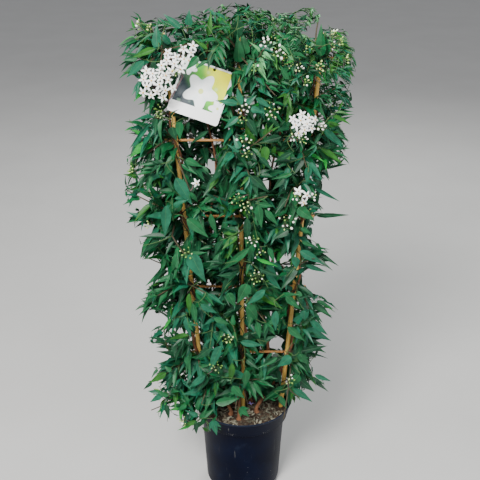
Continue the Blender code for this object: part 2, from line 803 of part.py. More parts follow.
def make_soil(parts, cutters, finish):
    """The compost, a turned block that fills the pot, with a socket round each cane."""
    wall = inner_wall()
    (r_below, z_below), (r_above, z_above) = wall[-2:]
    top_r = between(r_below, r_above, (SOIL_TOP - z_below) / (z_above - z_below))
    outline = [(0.0, SOIL_TOP), (top_r - GAP, SOIL_TOP)]
    outline += [(r - GAP, z) for r, z in reversed(wall[1:-1])]
    outline += [(wall[0][0] - GAP, POT_FLOOR + GAP), (0.0, POT_FLOOR + GAP)]
    soil = turned("soil", outline, False, parts, finish)
    for side in (-1, 0, 1):
        low, high = (Vector((cane_x(side, z), 0, z)) for z in (CANE_FOOT_Z - GAP, SOIL_TOP + CANE_FOOT_Z))
        socket_r = CANE_FOOT_R + CANE_NODE_SWELL + GAP
        bpy.ops.mesh.primitive_cylinder_add(vertices=10, radius=socket_r, depth=(high - low).length)
        socket = bpy.context.object
        socket.location = (low + high) / 2
        socket.rotation_mode = "QUATERNION"
        socket.rotation_quaternion = (high - low).to_track_quat("Z", "Y")
        as_cutter(socket, cutters, f"socket_cutter_{side + 2}")
    cut_by(soil, cutters)


def curve_tube(name, points, radii, parts, finish, resolution, closed=False):
    """A round limb or wire along a course, as a bevelled curve with filled ends, or with its ends joined."""
    curve = bpy.data.curves.new(name, "CURVE")
    curve.dimensions = "3D"
    curve.bevel_depth = 1.0
    curve.bevel_resolution = resolution
    curve.use_fill_caps = not closed
    spline = curve.splines.new("POLY")
    spline.use_cyclic_u = closed
    spline.points.add(len(points) - 1)
    for made, point, radius in zip(spline.points, points, radii):
        made.co = (*point, 1)
        made.radius = radius
    curve.materials.append(finish)
    obj = bpy.data.objects.new(name, curve)
    parts.objects.link(obj)
    return obj


def label_frame():
    """The label's across, up-the-card and facing directions."""
    return [LABEL_TURN @ Vector(way) for way in ((1, 0, 0), (0, 1, 0), (0, 0, 1))]


def label_point(across_m, up_m, out_m=0.0):
    across, up, facing = label_frame()
    return LABEL_CENTRE + across * across_m + up * up_m + facing * out_m


def label_slab(margin=0.0):
    """The label's card as a box of eight corners, grown by a margin."""
    wide, tall, thick = (s / 2 + margin for s in (LABEL_WIDE, LABEL_TALL, LABEL_THICK))
    corners = [label_point(x * wide, y * tall, z * thick) for x in (-1, 1) for y in (-1, 1) for z in (-1, 1)]
    faces = [(0, 1, 3, 2), (4, 6, 7, 5), (0, 4, 5, 1), (2, 3, 7, 6), (0, 2, 6, 4), (1, 5, 7, 3)]
    return outward((corners, faces))


def hole_centre(out_m=0.0):
    return label_point(LABEL_HOLE_ACROSS, LABEL_TALL / 2 - LABEL_HOLE_DOWN, out_m)


def loop_points():
    """The loop that passes through the label's hole, over its top edge and round the top crossbar."""
    _, up, _ = label_frame()
    turn = hole_centre() + up * (LOOP_TURN_R + LOOP_LIFT)
    bar = Vector((turn.x, bar_y(BAR_COUNT), bar_z(BAR_COUNT)))
    along = (turn - bar).normalized()
    across = (up - along * up.dot(along)).normalized()
    round_bar = BAR_R + GAP + LOOP_R
    points = []
    for centre, radius, start in ((turn, LOOP_TURN_R, -math.pi / 2), (bar, round_bar, math.pi / 2)):
        for k in range(LOOP_TURN_POINTS):
            angle = start + math.pi * k / (LOOP_TURN_POINTS - 1)
            points.append(centre + radius * (math.cos(angle) * along + math.sin(angle) * across))
    return points


def make_label(parts, cutters, finish):
    """The picture label, a card with a punched hole near its top edge."""
    bpy.ops.mesh.primitive_cube_add(size=1)
    label = bpy.context.object
    move_to(label, parts, "label")
    label.data.transform(Matrix.Diagonal((LABEL_WIDE, LABEL_TALL, LABEL_THICK, 1)))
    label.data.materials.append(finish)
    label.rotation_mode = "QUATERNION"
    label.rotation_quaternion = LABEL_TURN
    label.location = LABEL_CENTRE
    bpy.ops.mesh.primitive_cylinder_add(vertices=12, radius=LABEL_HOLE_R, depth=LABEL_TALL / 5, location=hole_centre())
    cutter = bpy.context.object
    cutter.rotation_mode = "QUATERNION"
    cutter.rotation_quaternion = LABEL_TURN
    as_cutter(cutter, cutters, "label_hole_cutter")
    punched = label.modifiers.new("punched hole", "BOOLEAN")
    punched.operation = "DIFFERENCE"
    punched.object = cutter


def make_mass(name, shapes, parts, finish):
    """One mass: its first twig joined with every other twig, leaf and flower."""
    wood, flowers, leaves = shapes
    body = mesh_object(name, wood[0], parts, finish)
    pieces = collection(name + "_pieces")
    for k, shape in enumerate(wood[1:] + flowers + leaves):
        mesh_object(f"{name}_piece_{k}", shape, pieces, finish)
    join = body.modifiers.new("joined", "BOOLEAN")
    join.operand_type = "COLLECTION"
    join.collection = pieces
    join.operation = "UNION"
    join.solver = "MANIFOLD"
    bpy.context.view_layer.update()
    graph = bpy.context.evaluated_depsgraph_get()
    joined = bpy.data.meshes.new_from_object(body.evaluated_get(graph))
    body.modifiers.clear()
    body.data = joined
    for obj in list(pieces.objects):
        bpy.data.objects.remove(obj)
    bpy.data.collections.remove(pieces)


def limb_trees():
    """Search trees of everything that foliage keeps clear of: all of it, and all but each stem."""
    stems = {}
    for name in STEMS:
        points, radii = stem_course(name)
        stems[name] = tube(points, [r * LIMB_GUARD + LIMB_CLEARANCE for r in radii], LIMB_SIDES)
    fixed = [label_slab(LABEL_GUARD), closed_ring(loop_points(), LOOP_R + LIMB_CLEARANCE, WIRE_SIDES)]
    for side in (-1, 0, 1):
        points, radii = cane_rings(side)
        fixed.append(tube(points, [r * LIMB_GUARD + LIMB_CLEARANCE for r in radii], LIMB_SIDES))
        for number in range(1, BAR_COUNT + 1):
            fixed.append(closed_ring(tie_points(side, number), TIE_R + LIMB_CLEARANCE, WIRE_SIDES))
    for number in range(1, BAR_COUNT + 1):
        fixed.append(tube(bar_ends(number), [BAR_R + 2 * LIMB_CLEARANCE] * 2, LIMB_SIDES))
    above_soil, above_rim = (UP * (z + SOIL_CLEARANCE) for z in (SOIL_TOP, POT_HEIGHT))
    outside = [r + POT_CLEARANCE for r in (POT_SHOULDER_R, COLLAR_FOOT_R, COLLAR_TOP_R)]
    middles = [UP * POT_HEIGHT / 2, UP * (POT_HEIGHT - COLLAR_DEPTH), above_rim]
    fixed.append(tube(middles, outside, POT_SIDES))
    inside = [r - BORE_CLEARANCE for r in (COLLAR_FOOT_R, COLLAR_TOP_R)]
    fixed.append(tube([above_soil, above_rim + UP * MASS_GAP], inside, POT_SIDES))
    return {
        "all": shape_tree(fixed + list(stems.values())),
        "without": {
            name: shape_tree(fixed + [shape for other, shape in stems.items() if other != name])
            for name in stems
        },
    }


def bar_ends(number):
    z = bar_z(number)
    half = fan_half(z) + BAR_OVERHANG
    return [Vector((side * half, bar_y(number), z)) for side in (-1, 1)]


def main():
    clear_scene()
    parts = collection("potted_jasmine")
    drains = collection("drain_cutters")
    sockets = collection("socket_cutters")
    punches = collection("punch_cutters")
    black_plastic = material("black_plastic", (0.010, 0.014, 0.026), 0.45)
    compost = material("compost", (0.110, 0.060, 0.032), 0.95)
    bamboo = material("bamboo", (0.560, 0.330, 0.110), 0.50)
    split_cane = material("split_cane", (0.470, 0.220, 0.085), 0.60)
    wire = material("dark_wire", (0.030, 0.034, 0.030), 0.50)
    bark = material("bark", (0.200, 0.105, 0.050), 0.85)
    leaf = material("leaf", (0.030, 0.120, 0.055), 0.40)
    card = material("label_card", (0.860, 0.860, 0.820), 0.35)

    make_pot(parts, drains, black_plastic)
    make_soil(parts, sockets, compost)
    for side, name in ((-1, "left"), (0, "middle"), (1, "right")):
        curve_tube(f"cane_{name}", *cane_rings(side), parts, bamboo, 1)
        for number in range(1, BAR_COUNT + 1):
            points = tie_points(side, number)
            curve_tube(f"tie_{number}_{name}", points, [TIE_R] * len(points), parts, wire, 0, closed=True)
    for number in range(1, BAR_COUNT + 1):
        curve_tube(f"crossbar_{number}", bar_ends(number), [BAR_R] * 2, parts, split_cane, 2)
    for name, stem in STEMS.items():
        curve_tube(name, *stem_course(name), parts, bark, 1 if stem["hand"] else 0)
    make_label(parts, punches, card)
    points = loop_points()
    curve_tube("label_loop", points, [LOOP_R] * len(points), parts, wire, 1, closed=True)

    limbs = limb_trees()
    for seed, (name, (space, stem, foot)) in enumerate(spaces().items()):
        rng = random.Random(1000 + seed)
        make_mass(name, grow(space, stem, foot, limbs, rng, BLOSSOM.get(name, ())), parts, leaf)


main()
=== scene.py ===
"""How the potted climbing jasmine looks, built round its solids.

Everything is in metres in the solids' own frame: the origin is the middle of the pot's underside, +Z is up
and the front is -Y. The foliage is grown again by the rule that grew the solids' masses, and carried on to
finer twigs, leaves of real size, flowers and buds.
"""

import itertools
import json
import math
import random
from collections import namedtuple

import bmesh
import bpy
from mathutils import Euler, Matrix, Quaternion, Vector, noise
from mathutils.bvhtree import BVHTree

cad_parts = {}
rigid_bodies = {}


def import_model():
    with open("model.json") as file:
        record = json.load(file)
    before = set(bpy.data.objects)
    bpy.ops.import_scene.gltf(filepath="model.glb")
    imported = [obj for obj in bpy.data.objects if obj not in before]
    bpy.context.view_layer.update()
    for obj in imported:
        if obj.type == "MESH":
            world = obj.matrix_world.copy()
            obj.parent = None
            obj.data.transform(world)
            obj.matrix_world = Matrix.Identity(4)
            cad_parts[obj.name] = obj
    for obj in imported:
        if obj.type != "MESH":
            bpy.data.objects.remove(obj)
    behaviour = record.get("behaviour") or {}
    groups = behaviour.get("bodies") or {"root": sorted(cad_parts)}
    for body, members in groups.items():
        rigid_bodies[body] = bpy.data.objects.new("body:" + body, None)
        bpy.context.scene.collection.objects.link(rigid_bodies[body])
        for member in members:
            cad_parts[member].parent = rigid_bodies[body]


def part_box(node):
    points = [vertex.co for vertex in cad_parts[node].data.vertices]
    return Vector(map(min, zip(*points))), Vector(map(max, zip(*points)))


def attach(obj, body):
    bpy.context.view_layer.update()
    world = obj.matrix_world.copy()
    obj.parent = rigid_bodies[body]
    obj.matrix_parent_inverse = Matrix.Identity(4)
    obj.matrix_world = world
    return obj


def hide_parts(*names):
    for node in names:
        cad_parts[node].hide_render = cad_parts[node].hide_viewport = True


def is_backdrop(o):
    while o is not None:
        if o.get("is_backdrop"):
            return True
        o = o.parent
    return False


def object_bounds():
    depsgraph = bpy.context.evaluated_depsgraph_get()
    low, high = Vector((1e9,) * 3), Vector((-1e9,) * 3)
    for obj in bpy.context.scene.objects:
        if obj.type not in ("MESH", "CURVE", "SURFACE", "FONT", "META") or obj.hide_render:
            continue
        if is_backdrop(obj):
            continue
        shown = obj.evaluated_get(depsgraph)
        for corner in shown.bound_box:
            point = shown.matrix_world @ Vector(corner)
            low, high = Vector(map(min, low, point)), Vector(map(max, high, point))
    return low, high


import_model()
solid_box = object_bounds()

UP = Vector((0, 0, 1))
TURN = 2 * math.pi
GAP = 0.0003

# Heights that the solids give.
POT_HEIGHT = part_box("pot")[1].z
SOIL_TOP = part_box("soil")[1].z
CANE_FOOT_Z, CANE_TOP_Z = (corner.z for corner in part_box("cane_middle"))
BAR_COUNT = 5
BAR_FIRST_Z, BAR_LAST_Z = (sum(corner.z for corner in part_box(f"crossbar_{n}")) / 2 for n in (1, BAR_COUNT))
BAR_STEP = (BAR_LAST_Z - BAR_FIRST_Z) / (BAR_COUNT - 1)

# The photograph's camera. Its frame is 480 pixels each way.
PHOTO_MIDDLE = 240
FOCAL_PIXELS = 850
SENSOR = 36
EYE = Vector((-0.0075, -1.78, 1.465))
PITCH = math.radians(24.2)
CAMERA_TURN = Euler((math.pi / 2 - PITCH, 0, 0)).to_matrix()

# The pot.
POT_FOOT_R = 0.092
POT_SHOULDER_R = 0.1025
COLLAR_FOOT_R = 0.1105
COLLAR_TOP_R = 0.120
COLLAR_DEPTH = 0.040
POT_WALL = 0.0024
POT_FLOOR = 0.003
POT_FOOT_HEIGHT = 0.010
POT_FOOT_TURN = 0.006
POT_STEP_SOFT = 0.0025
POT_LIP = 0.0010
POT_SIDES = 128
DRAIN_COUNT = 6
DRAIN_R = 0.007
DRAIN_RING_R = 0.066

# The canes, crossbars and wire ties.
CANE_FOOT_R, CANE_TOP_R = 0.0056, 0.0046
CANE_NODE_STEP = 0.185
CANE_NODE_SWELL = 0.0006
CANE_NODE_HALF = 0.003
FIRST_NODE_SHARE, FIRST_NODE_STAGGER = 0.62, 0.13
CANE_SIDES = 20
CANE_RING_STEP = 0.012
CANE_UNEVEN = 0.00012
FAN_HALF_AT_SOIL, FAN_HALF_AT_TOP = 0.095, 0.165
MIDDLE_CANE_LEAN = -0.009
BAR_R = 0.0029
BAR_OVERHANG = 0.028
BAR_UNEVEN = 0.00016
TIE_R = 0.0007
TIE_SLACK = 0.0016
TIE_FRONT_SPREAD, TIE_SIDE_SPREAD = 0.85, 1.25
TIE_ROUNDING = 0.45
TIE_TAIL = 0.011
TIE_TAIL_TURNS = 3

# The stems.
STEM_FOOT_R, STEM_TIP_R = 0.0042, 0.0016
STEM_FLARE = 1.6
STEM_FLARE_HEIGHT = 0.012
STEM_JOINS_CANE_Z = 0.300
STEM_TOP_Z = 1.120
TWINE_CLEAR = 0.0010
TWINE_OVER_TIE = 0.0018
TWINE_POINTS, CLIMB_POINTS = 6, 4
BACK_STEM_Y = 0.0195
BACK_STEM_SWAY = 0.010
BACK_STEM_WAVE = 1.7 * BAR_STEP
BACK_STEM_PHASE = 4.0
BEND_SHARES = (0.35, 0.15, 0.6)
BEND_STEPS = (0.3, 0.55, 0.8)
STEM_SIDES = 14
STEM_SMOOTH = 8
BARK_RELIEF = 0.09
STEMS = {
    "stem_left": {"side": -1, "foot": Vector((-0.030, -0.036)), "hand": -1},
    "stem_middle": {"side": 0, "foot": Vector((-0.010, -0.056)), "hand": 1},
    "stem_right": {"side": 1, "foot": Vector((0.034, -0.026)), "hand": 1},
    "stem_back_left": {"side": -0.5, "foot": Vector((-0.022, 0.012)), "hand": 0},
    "stem_back_right": {"side": 0.5, "foot": Vector((0.018, 0.020)), "hand": 0},
}

# The crown's reach to the left and right at several heights, then to the front and back.
REACH = (
    (0.19, 0.230, 0.160),
    (0.28, 0.238, 0.208),
    (0.40, 0.216, 0.196),
    (0.52, 0.232, 0.190),
    (0.62, 0.232, 0.184),
    (0.76, 0.274, 0.206),
    (0.88, 0.262, 0.218),
    (1.00, 0.238, 0.222),
    (1.10, 0.248, 0.222),
    (1.20, 0.216, 0.190),
)
CROWN_TOP = 1.186
CROWN_ROUNDING = 0.028
CROWN_HALF_WIDE = 0.28
TIP_MARGIN = 0.003
FRONT_REACH_LOW, FRONT_REACH_HIGH = 0.118, 0.140
BACK_REACH_LOW, BACK_REACH_HIGH = 0.105, 0.122
CORNER_POWER = 2.6
CROWN_FLOOR = 0.216
SKIRT_FLOOR = 0.196
WINDOW_EYE = Vector((0, -1.78, 1.465))
WINDOWS = (
    (-0.072, 0.842, 0.016),
    (0.062, 0.850, 0.020),
    (0.055, 0.800, 0.014),
    (0.098, 0.622, 0.013),
    (0.083, 0.392, 0.016),
    (-0.148, 0.420, 0.014),
    (0.010, 0.990, 0.012),
)

# How the foliage is shared out between masses.
BACK_PLANE_Y = 0.0135
TIER_LOWS = (0.286, 0.452, 0.632, 0.812, 0.992)
LEFT_STAGGER, MIDDLE_STAGGER, RIGHT_STAGGER = -0.030, 0.045, 0.010
TIER_TILT = 0.22
MASS_GAP = 0.0004
FAR = 9.0
FRONT_FOOT_OVER_BAR, BACK_FOOT_UNDER_BAR = 0.012, 0.035
SKIRT_FOOT_Z = 0.262
COLUMNS = ("front_left", "front_middle", "front_right", "back_left", "back_right")
FIRST_SEED = 1000

# The growth rule: tips are sown evenly and each grows from the nearest wood.
TIPS_PER_MASS, FINE_TIPS = 5, 24
FINE_DENSER, BACK_DENSER = 3.2, 3.0
FINE_OVERLAP = 0.014
STRIP_FROM_CANE, STRIP_HALF_DEEP, STRIP_TIPS = 0.012, 0.032, 6
TIP_CANDIDATES = 14
LATERAL_R, SHOOT_R, TWIG_TIP_R = 0.0026, 0.0020, 0.0012
FINE_R, FINE_TIP_R = 0.0011, 0.0006
PARENT_PULL = 0.4
ARC_BEND = 0.4
HEADING_WEIGHT = 0.35
LATERAL_TRIES = 400
LATERAL_SHORTEST = 0.030
LATERAL_KNEE = 0.010
LATERAL_RISE = 0.8
LATERAL_ARCH, SHOOT_ARCH = 0.05, 0.06
SHOOT_SHORTEST, FINE_SHORTEST = 0.035, 0.024
SHOOT_TRIES, FINE_TRIES = 15, 60
COARSE_SEGMENTS, FINE_SEGMENTS = 2, 4
TWIG_SIDES, STALK_SIDES, TWIG_STEPS = 5, 4, 3
LIMB_CLEARANCE = 0.0007
LIMB_GUARD = 1.06
POT_CLEARANCE = 0.003
SOIL_CLEARANCE = 0.0015
BORE_CLEARANCE = 0.006

# The leaves.
LEAF_SHORT, LEAF_LONG = 0.040, 0.070
LEAF_FINE = 0.53
UPPER_LEAF, UPPER_BETWEEN = 0.88, (0.60, 0.95)
LEAF_NARROW, LEAF_LESS_BROAD, LEAF_BROAD = 0.24, 0.30, 0.38
PETIOLE = 0.15
LEAF_STEP = 0.0095
LEAF_TURN = math.radians(137.5)
LEAF_TRIES, SMALLER_TRY = 8, 0.95
LAST_LEAF = 0.72
SPRAY_TINT_SHARE = 0.78
LEAF_APART = 0.0068
LEAF_ALONG, LEAF_ASIDE, LEAF_OUT = 0.30, 0.80, 0.55
LEAF_HANG = (0.0, 0.65)
LEAF_FACE_UP, LEAF_FACE_OUT = 0.8, 0.7
LEAF_FACE_ROLL = 0.35
LEAF_PAST_REACH = 0.016
HOLLOW_FROM = 0.60
HOLLOW_TOP = 1.07
BAY_FROM, GROOVE_FROM, BAY_STRETCH, BAY_UNDER = 0.85, 0.82, 0.25, -0.08
HOLLOW_SCALE, HOLLOW_UNDER, BACK_HOLLOW_UNDER = 17.0, -0.20, -0.32
TUFT_SCALE, TUFT_STRETCH = 24.0, 0.4
EDGE_TUFT, TOP_TUFT = 0.046, 0.048
FINE_PAST = 0.008
WAIST, WAIST_SCALE, WAIST_SHIFT, BACK_WAIST_LIFT = 0.016, 9.0, Vector((3.1, 0, 0)), 0.07
TOP_PEAK = 0.004
TOP_FALLS = ((0.020, (-0.100, -0.180)), (0.024, (0.020, 0.120)), (0.040, (0.185, 0.250)))
EDGE_SPREAD, EDGE_LONGER, EDGE_SLIMMER, EDGE_APART = 1.1, 1.04, 0.80, 1.45
FEWEST_AT_EDGE, OUTERMOST = 3, 0.8
OUT_SIDEWAYS = 2.6
OUT_UPWARDS, UPWARDS_BETWEEN = 2.2, (1.120, 1.170)
LEAF_WANDER = 0.28
FIRST_LEAF = 0.12
TIP_LEAVES = 5
TIP_LEAF_SHARES = (0.50, 0.90)
TIP_LIFT, TIP_OUT, TIP_FACE_UP = 0.35, 0.70, 0.4
TIP_FORWARD = (0.2, 1.2)
TIP_HANG = (0.0, 0.7)
ROSETTE_SHARE = 0.55
BROAD_SHARE = 0.38
BOX_ROOM = (0.008, 0.006, 0.016)

# Where the photograph shows the canes and crossbars through the leaves: heights on each cane from the
# left, and the x of stretches of crossbars.
SEEN_CANES = {
    -1: ((0.360, 0.430), (0.520, 0.565), (0.675, 0.735), (0.815, 0.865), (0.905, 0.950)),
    0: ((0.205, 0.250), (0.315, 0.375), (0.420, 0.482), (0.500, 0.565), (0.580, 0.690)),
    1: ((0.280, 0.340), (0.360, 0.555), (0.600, 0.640), (0.712, 0.735), (1.008, 1.032)),
}
SEEN_BARS = (
    (1, -0.125, -0.100),
    (1, 0.020, 0.095),
    (2, -0.105, -0.020),
    (3, -0.100, 0.005),
    (4, -0.190, -0.050),
    (5, -0.205, -0.190),
)
CANE_SHOWS, BAR_SHOWS = 0.0068, 0.0047
SEEN_SOIL_PIXELS, SOIL_SHOWS = ((224, 413), (280, 407)), 0.0195
SEEN_RIM_PIXELS, RIM_SHOWS = ((236, 424), (288, 420)), 0.0095

# Where the sky shows between the sprays at the crown's edges: the pixel of the middle and the radius.
SEEN_SKY = (
    ((341, 174), 0.018),
    ((333, 188), 0.025),
    ((331, 199), 0.027),
    ((331, 227), 0.0415),
    ((338, 256), 0.0165),
    ((325, 239), 0.021),
    ((319, 280), 0.0375),
    ((323, 366), 0.0275),
    ((316, 400), 0.036),
    ((304, 411), 0.026),
    ((297, 417), 0.0165),
    ((127, 234), 0.021),
    ((136, 249), 0.014),
    ((142, 201), 0.018),
    ((148, 228), 0.016),
    ((155, 267), 0.0185),
    ((144, 272), 0.021),
    ((132, 268), 0.019),
    ((167, 272), 0.0115),
    ((150, 318), 0.0195),
    ((164, 318), 0.0145),
    ((150, 353), 0.02),
    ((164, 356), 0.0175),
    ((146, 368), 0.0175),
    ((128, 78), 0.015),
    ((130, 110), 0.0175),
    ((127, 142), 0.0175),
    ((272, 259), 0.014),
    ((284, 262), 0.0115),
    ((272, 345), 0.0125),
    ((279, 341), 0.01),
    ((273, 357), 0.01),
)
SEEN_SHADE = (
    ((200, 119), 0.026),
    ((206, 137), 0.0305),
    ((214, 151), 0.02),
    ((191, 148), 0.0155),
    ((222, 130), 0.0175),
    ((189, 129), 0.0155),
)
SHADE_BEHIND, SHADE_WIDER = -0.012, 1.5
SKIRT_LEAVES = (-0.155, -0.050)
LEAF_FLOOR, SKIRT_LEAF_FLOOR = 0.242, 0.190

# The open blossom: centre, radius and number of flowers of each head.
BLOSSOM = (
    ((-0.174, -0.104, 1.052), 0.034, 15),
    ((-0.143, -0.106, 1.094), 0.027, 9),
    ((-0.110, -0.104, 1.115), 0.018, 4),
    ((-0.106, -0.110, 0.845), 0.010, 1),
    ((0.122, -0.112, 0.974), 0.025, 10),
    ((0.125, -0.108, 0.818), 0.018, 3),
)
FLOWER_R = 0.0116
PEDICEL_R = 0.0006
CLUSTER_FACING = Vector((0, -1, 0.25))
CLUSTER_BULGE = 0.45
PURPLE_STALK_PIXELS, PURPLE_STALK_Y = ((183, 76), (171, 98)), -0.100
PURPLE_STALK_R = 0.0016
STALK_BACK, STALK_DOWN, HEAD_STEM_R = 0.9, 0.3, 0.0013
FLOWER_OUT, FLOWER_FRONTWARDS, FLOWER_WANDER = 0.75, 0.7, 0.3
FLOWER_SIZES = (0.88, 1.06)
PEDICEL_BEND_AT, PEDICEL_BEND = 0.55, 0.002
CALYX_BACK = 0.12
BLOSSOM_MARGIN, BLOSSOM_DEEP = 0.008, 0.01

# The picture label.
LABEL_WIDE, LABEL_TALL, LABEL_THICK = 0.110, 0.116, 0.0011
LABEL_CENTRE = Vector((-0.088, -0.060, 1.027))
LABEL_LEAN, LABEL_ROLL = math.radians(26), math.radians(19)
LABEL_TURN = Quaternion((1, 0, 0), math.pi / 2 - LABEL_LEAN) @ Quaternion((0, 0, 1), -LABEL_ROLL)
LABEL_HOLE_R = 0.003
LABEL_HOLE_ACROSS, LABEL_HOLE_DOWN = 0.012, 0.0065
LABEL_ROOM = 0.085
LABEL_OVERHANG = 0.005
LABEL_GUARD = 0.002
LABEL_CURL = 0.0022
LABEL_CORNER_R = 0.003
LABEL_CELLS = 28
LOOP_R = 0.0009
LOOP_TURN_R = 0.0050
LOOP_LIFT = 0.0013
LOOP_TURN_POINTS = 7


# Small helpers.


def between(low, high, share):
    return low + (high - low) * share


def share_of(value, low, high):
    return min(1.0, max(0.0, (value - low) / (high - low)))


def smooth_share(value, low, high):
    share = share_of(value, low, high)
    return share * share * (3 - 2 * share)


def from_photo(across, down, y):
    """The point that shows at a pixel of the photograph and lies at the depth y."""
    ray = CAMERA_TURN @ Vector((across - PHOTO_MIDDLE, PHOTO_MIDDLE - down, -FOCAL_PIXELS))
    return EYE + ray * ((y - EYE.y) / ray.y)


def to_photo(point):
    """The pixel of the photograph at which a point shows."""
    seen = CAMERA_TURN.transposed() @ (point - EYE)
    return PHOTO_MIDDLE - FOCAL_PIXELS * seen.x / seen.z, PHOTO_MIDDLE + FOCAL_PIXELS * seen.y / seen.z


def across_rows(rows, width, first=0, closed=True):
    """Faces between rows of points, each so many points wide, that are closed round or open."""
    faces = []
    for i in range(rows - 1):
        near, far = first + i * width, first + (i + 1) * width
        for k in range(width if closed else width - 1):
            nxt = (k + 1) % width
            faces.append((near + k, near + nxt, far + nxt, far + k))
    return faces


def flipped(faces):
    return [(a, d, c, b) for a, b, c, d in faces]


def between_poles(rows, sides):
    """Faces of a closed shape: a first point, rows of points round an axis, and a last point."""
    last = 1 + rows * sides
    faces = across_rows(rows, sides, first=1)
    for k in range(sides):
        nxt = (k + 1) % sides
        faces += [(0, 1 + nxt, 1 + k), (last - sides + k, last - sides + nxt, last)]
    return faces


def ring(radius, sides, z=0.0):
    """Points round the Z axis."""
    angles = [TURN * k / sides for k in range(sides)]
    return [Vector((radius * math.cos(angle), radius * math.sin(angle), z)) for angle in angles]


def smoothed(points, steps, rounding=0.5, closed=False):
    """The points with a smooth curve run through them, in so many steps between each two."""
    count = len(points)
    made = []
    for i in range(count if closed else count - 1):
        if closed:
            before, a, b, after = (points[(i + k) % count] for k in (-1, 0, 1, 2))
        else:
            before, a, b, after = (points[min(max(i + k, 0), count - 1)] for k in (-1, 0, 1, 2))
        leave, arrive = (b - before) * rounding, (after - a) * rounding
        for step in range(steps):
            t = step / steps
            near, far = a * (2 * t**3 - 3 * t**2 + 1), b * (3 * t**2 - 2 * t**3)
            made.append(near + leave * (t**3 - 2 * t**2 + t) + far + arrive * (t**3 - t**2))
    if not closed:
        made.append(points[-1].copy())
    return made


def new_object(name, points, faces, edges=()):
    mesh = bpy.data.meshes.new(name)
    mesh.from_pydata([tuple(p) for p in points], list(edges), faces)
    mesh.update()
    obj = bpy.data.objects.new(name, mesh)
    bpy.context.scene.collection.objects.link(obj)
    return obj


def made_real(obj):
    """The object with its evaluated shape as a plain mesh, and no modifier left on it."""
    bpy.context.view_layer.update()
    graph = bpy.context.evaluated_depsgraph_get()
    shaped = bpy.data.meshes.new_from_object(obj.evaluated_get(graph))
    obj.modifiers.clear()
    obj.data = shaped
    return obj


def smooth(obj, sharp_degrees=None):
    obj.data.shade_smooth()
    if sharp_degrees is not None:
        obj.data.set_sharp_from_angle(angle=math.radians(sharp_degrees))
    return obj


def point_out(obj):
    bm = bmesh.new()
    bm.from_mesh(obj.data)
    bmesh.ops.recalc_face_normals(bm, faces=bm.faces)
    bm.to_mesh(obj.data)
    bm.free()
    return obj


def own_finishes(obj, numbers):
    """Gives each face its finish, by number."""
    for polygon, number in zip(obj.data.polygons, numbers):
        polygon.material_index = number
    return obj


def piece(obj, finishes, slot, *nodes):
    """Gives a finished piece its finishes and its body, and hides the solids that it stands for; its slot is
    not used.
    """
    for finish in finishes:
        obj.data.materials.append(finish)
    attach(obj, "root")
    if nodes:
        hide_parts(*nodes)
    return obj


# Finishes. A Wired value is one output of a node.


class Wired:
    """An output of a node. Arithmetic on it adds Math nodes, and `node` adds any other kind to its tree."""

    def __init__(self, tree, output=None):
        self.tree = tree
        self.output = output

    def node(self, kind, inputs=None, out=0, stops=None, **settings):
        made = self.tree.nodes.new(kind)
        for name, value in settings.items():
            setattr(made, name, value)
        if stops:
            elements = made.color_ramp.elements
            while len(elements) < len(stops):
                elements.new(0.5)
            for element, (position, colour) in zip(elements, stops):
                element.position = position
                element.color = (*colour, 1)
        for key, value in (inputs or {}).items():
            socket = made.inputs[key]
            if isinstance(value, Wired):
                self.tree.links.new(value.output, socket)
            else:
                socket.default_value = value
        return Wired(self.tree, made.outputs[out])

    def maths(self, operation, *values):
        return self.node("ShaderNodeMath", dict(enumerate(values)), operation=operation)

    def __add__(self, other):
        return self.maths("ADD", self, other)

    def __radd__(self, other):
        return self.maths("ADD", other, self)

    def __sub__(self, other):
        return self.maths("SUBTRACT", self, other)

    def __rsub__(self, other):
        return self.maths("SUBTRACT", other, self)

    def __mul__(self, other):
        return self.maths("MULTIPLY", self, other)

    def __rmul__(self, other):
        return self.maths("MULTIPLY", other, self)

    def __truediv__(self, other):
        return self.maths("DIVIDE", self, other)

    def ramp(self, low, high):
        """0 below low, 1 above high, and smooth between them; the other way round where low is the larger."""
        inputs = {0: self, 1: low, 2: high, 3: 0.0, 4: 1.0}
        if low > high:
            inputs = {0: self, 1: high, 2: low, 3: 1.0, 4: 0.0}
        return self.node("ShaderNodeMapRange", inputs, interpolation_type="SMOOTHSTEP")

    def blend(self, first, second):
        """The first colour where this is 0 and the second where it is 1."""
        inputs = {0: self}
        for key, colour in ((6, first), (7, second)):
            inputs[key] = colour if isinstance(colour, Wired) else (*colour, 1)
        return self.node("ShaderNodeMix", inputs, out=2, data_type="RGBA")


def tinted(colour, share):
    return tuple(min(1.0, c * share) for c in colour)


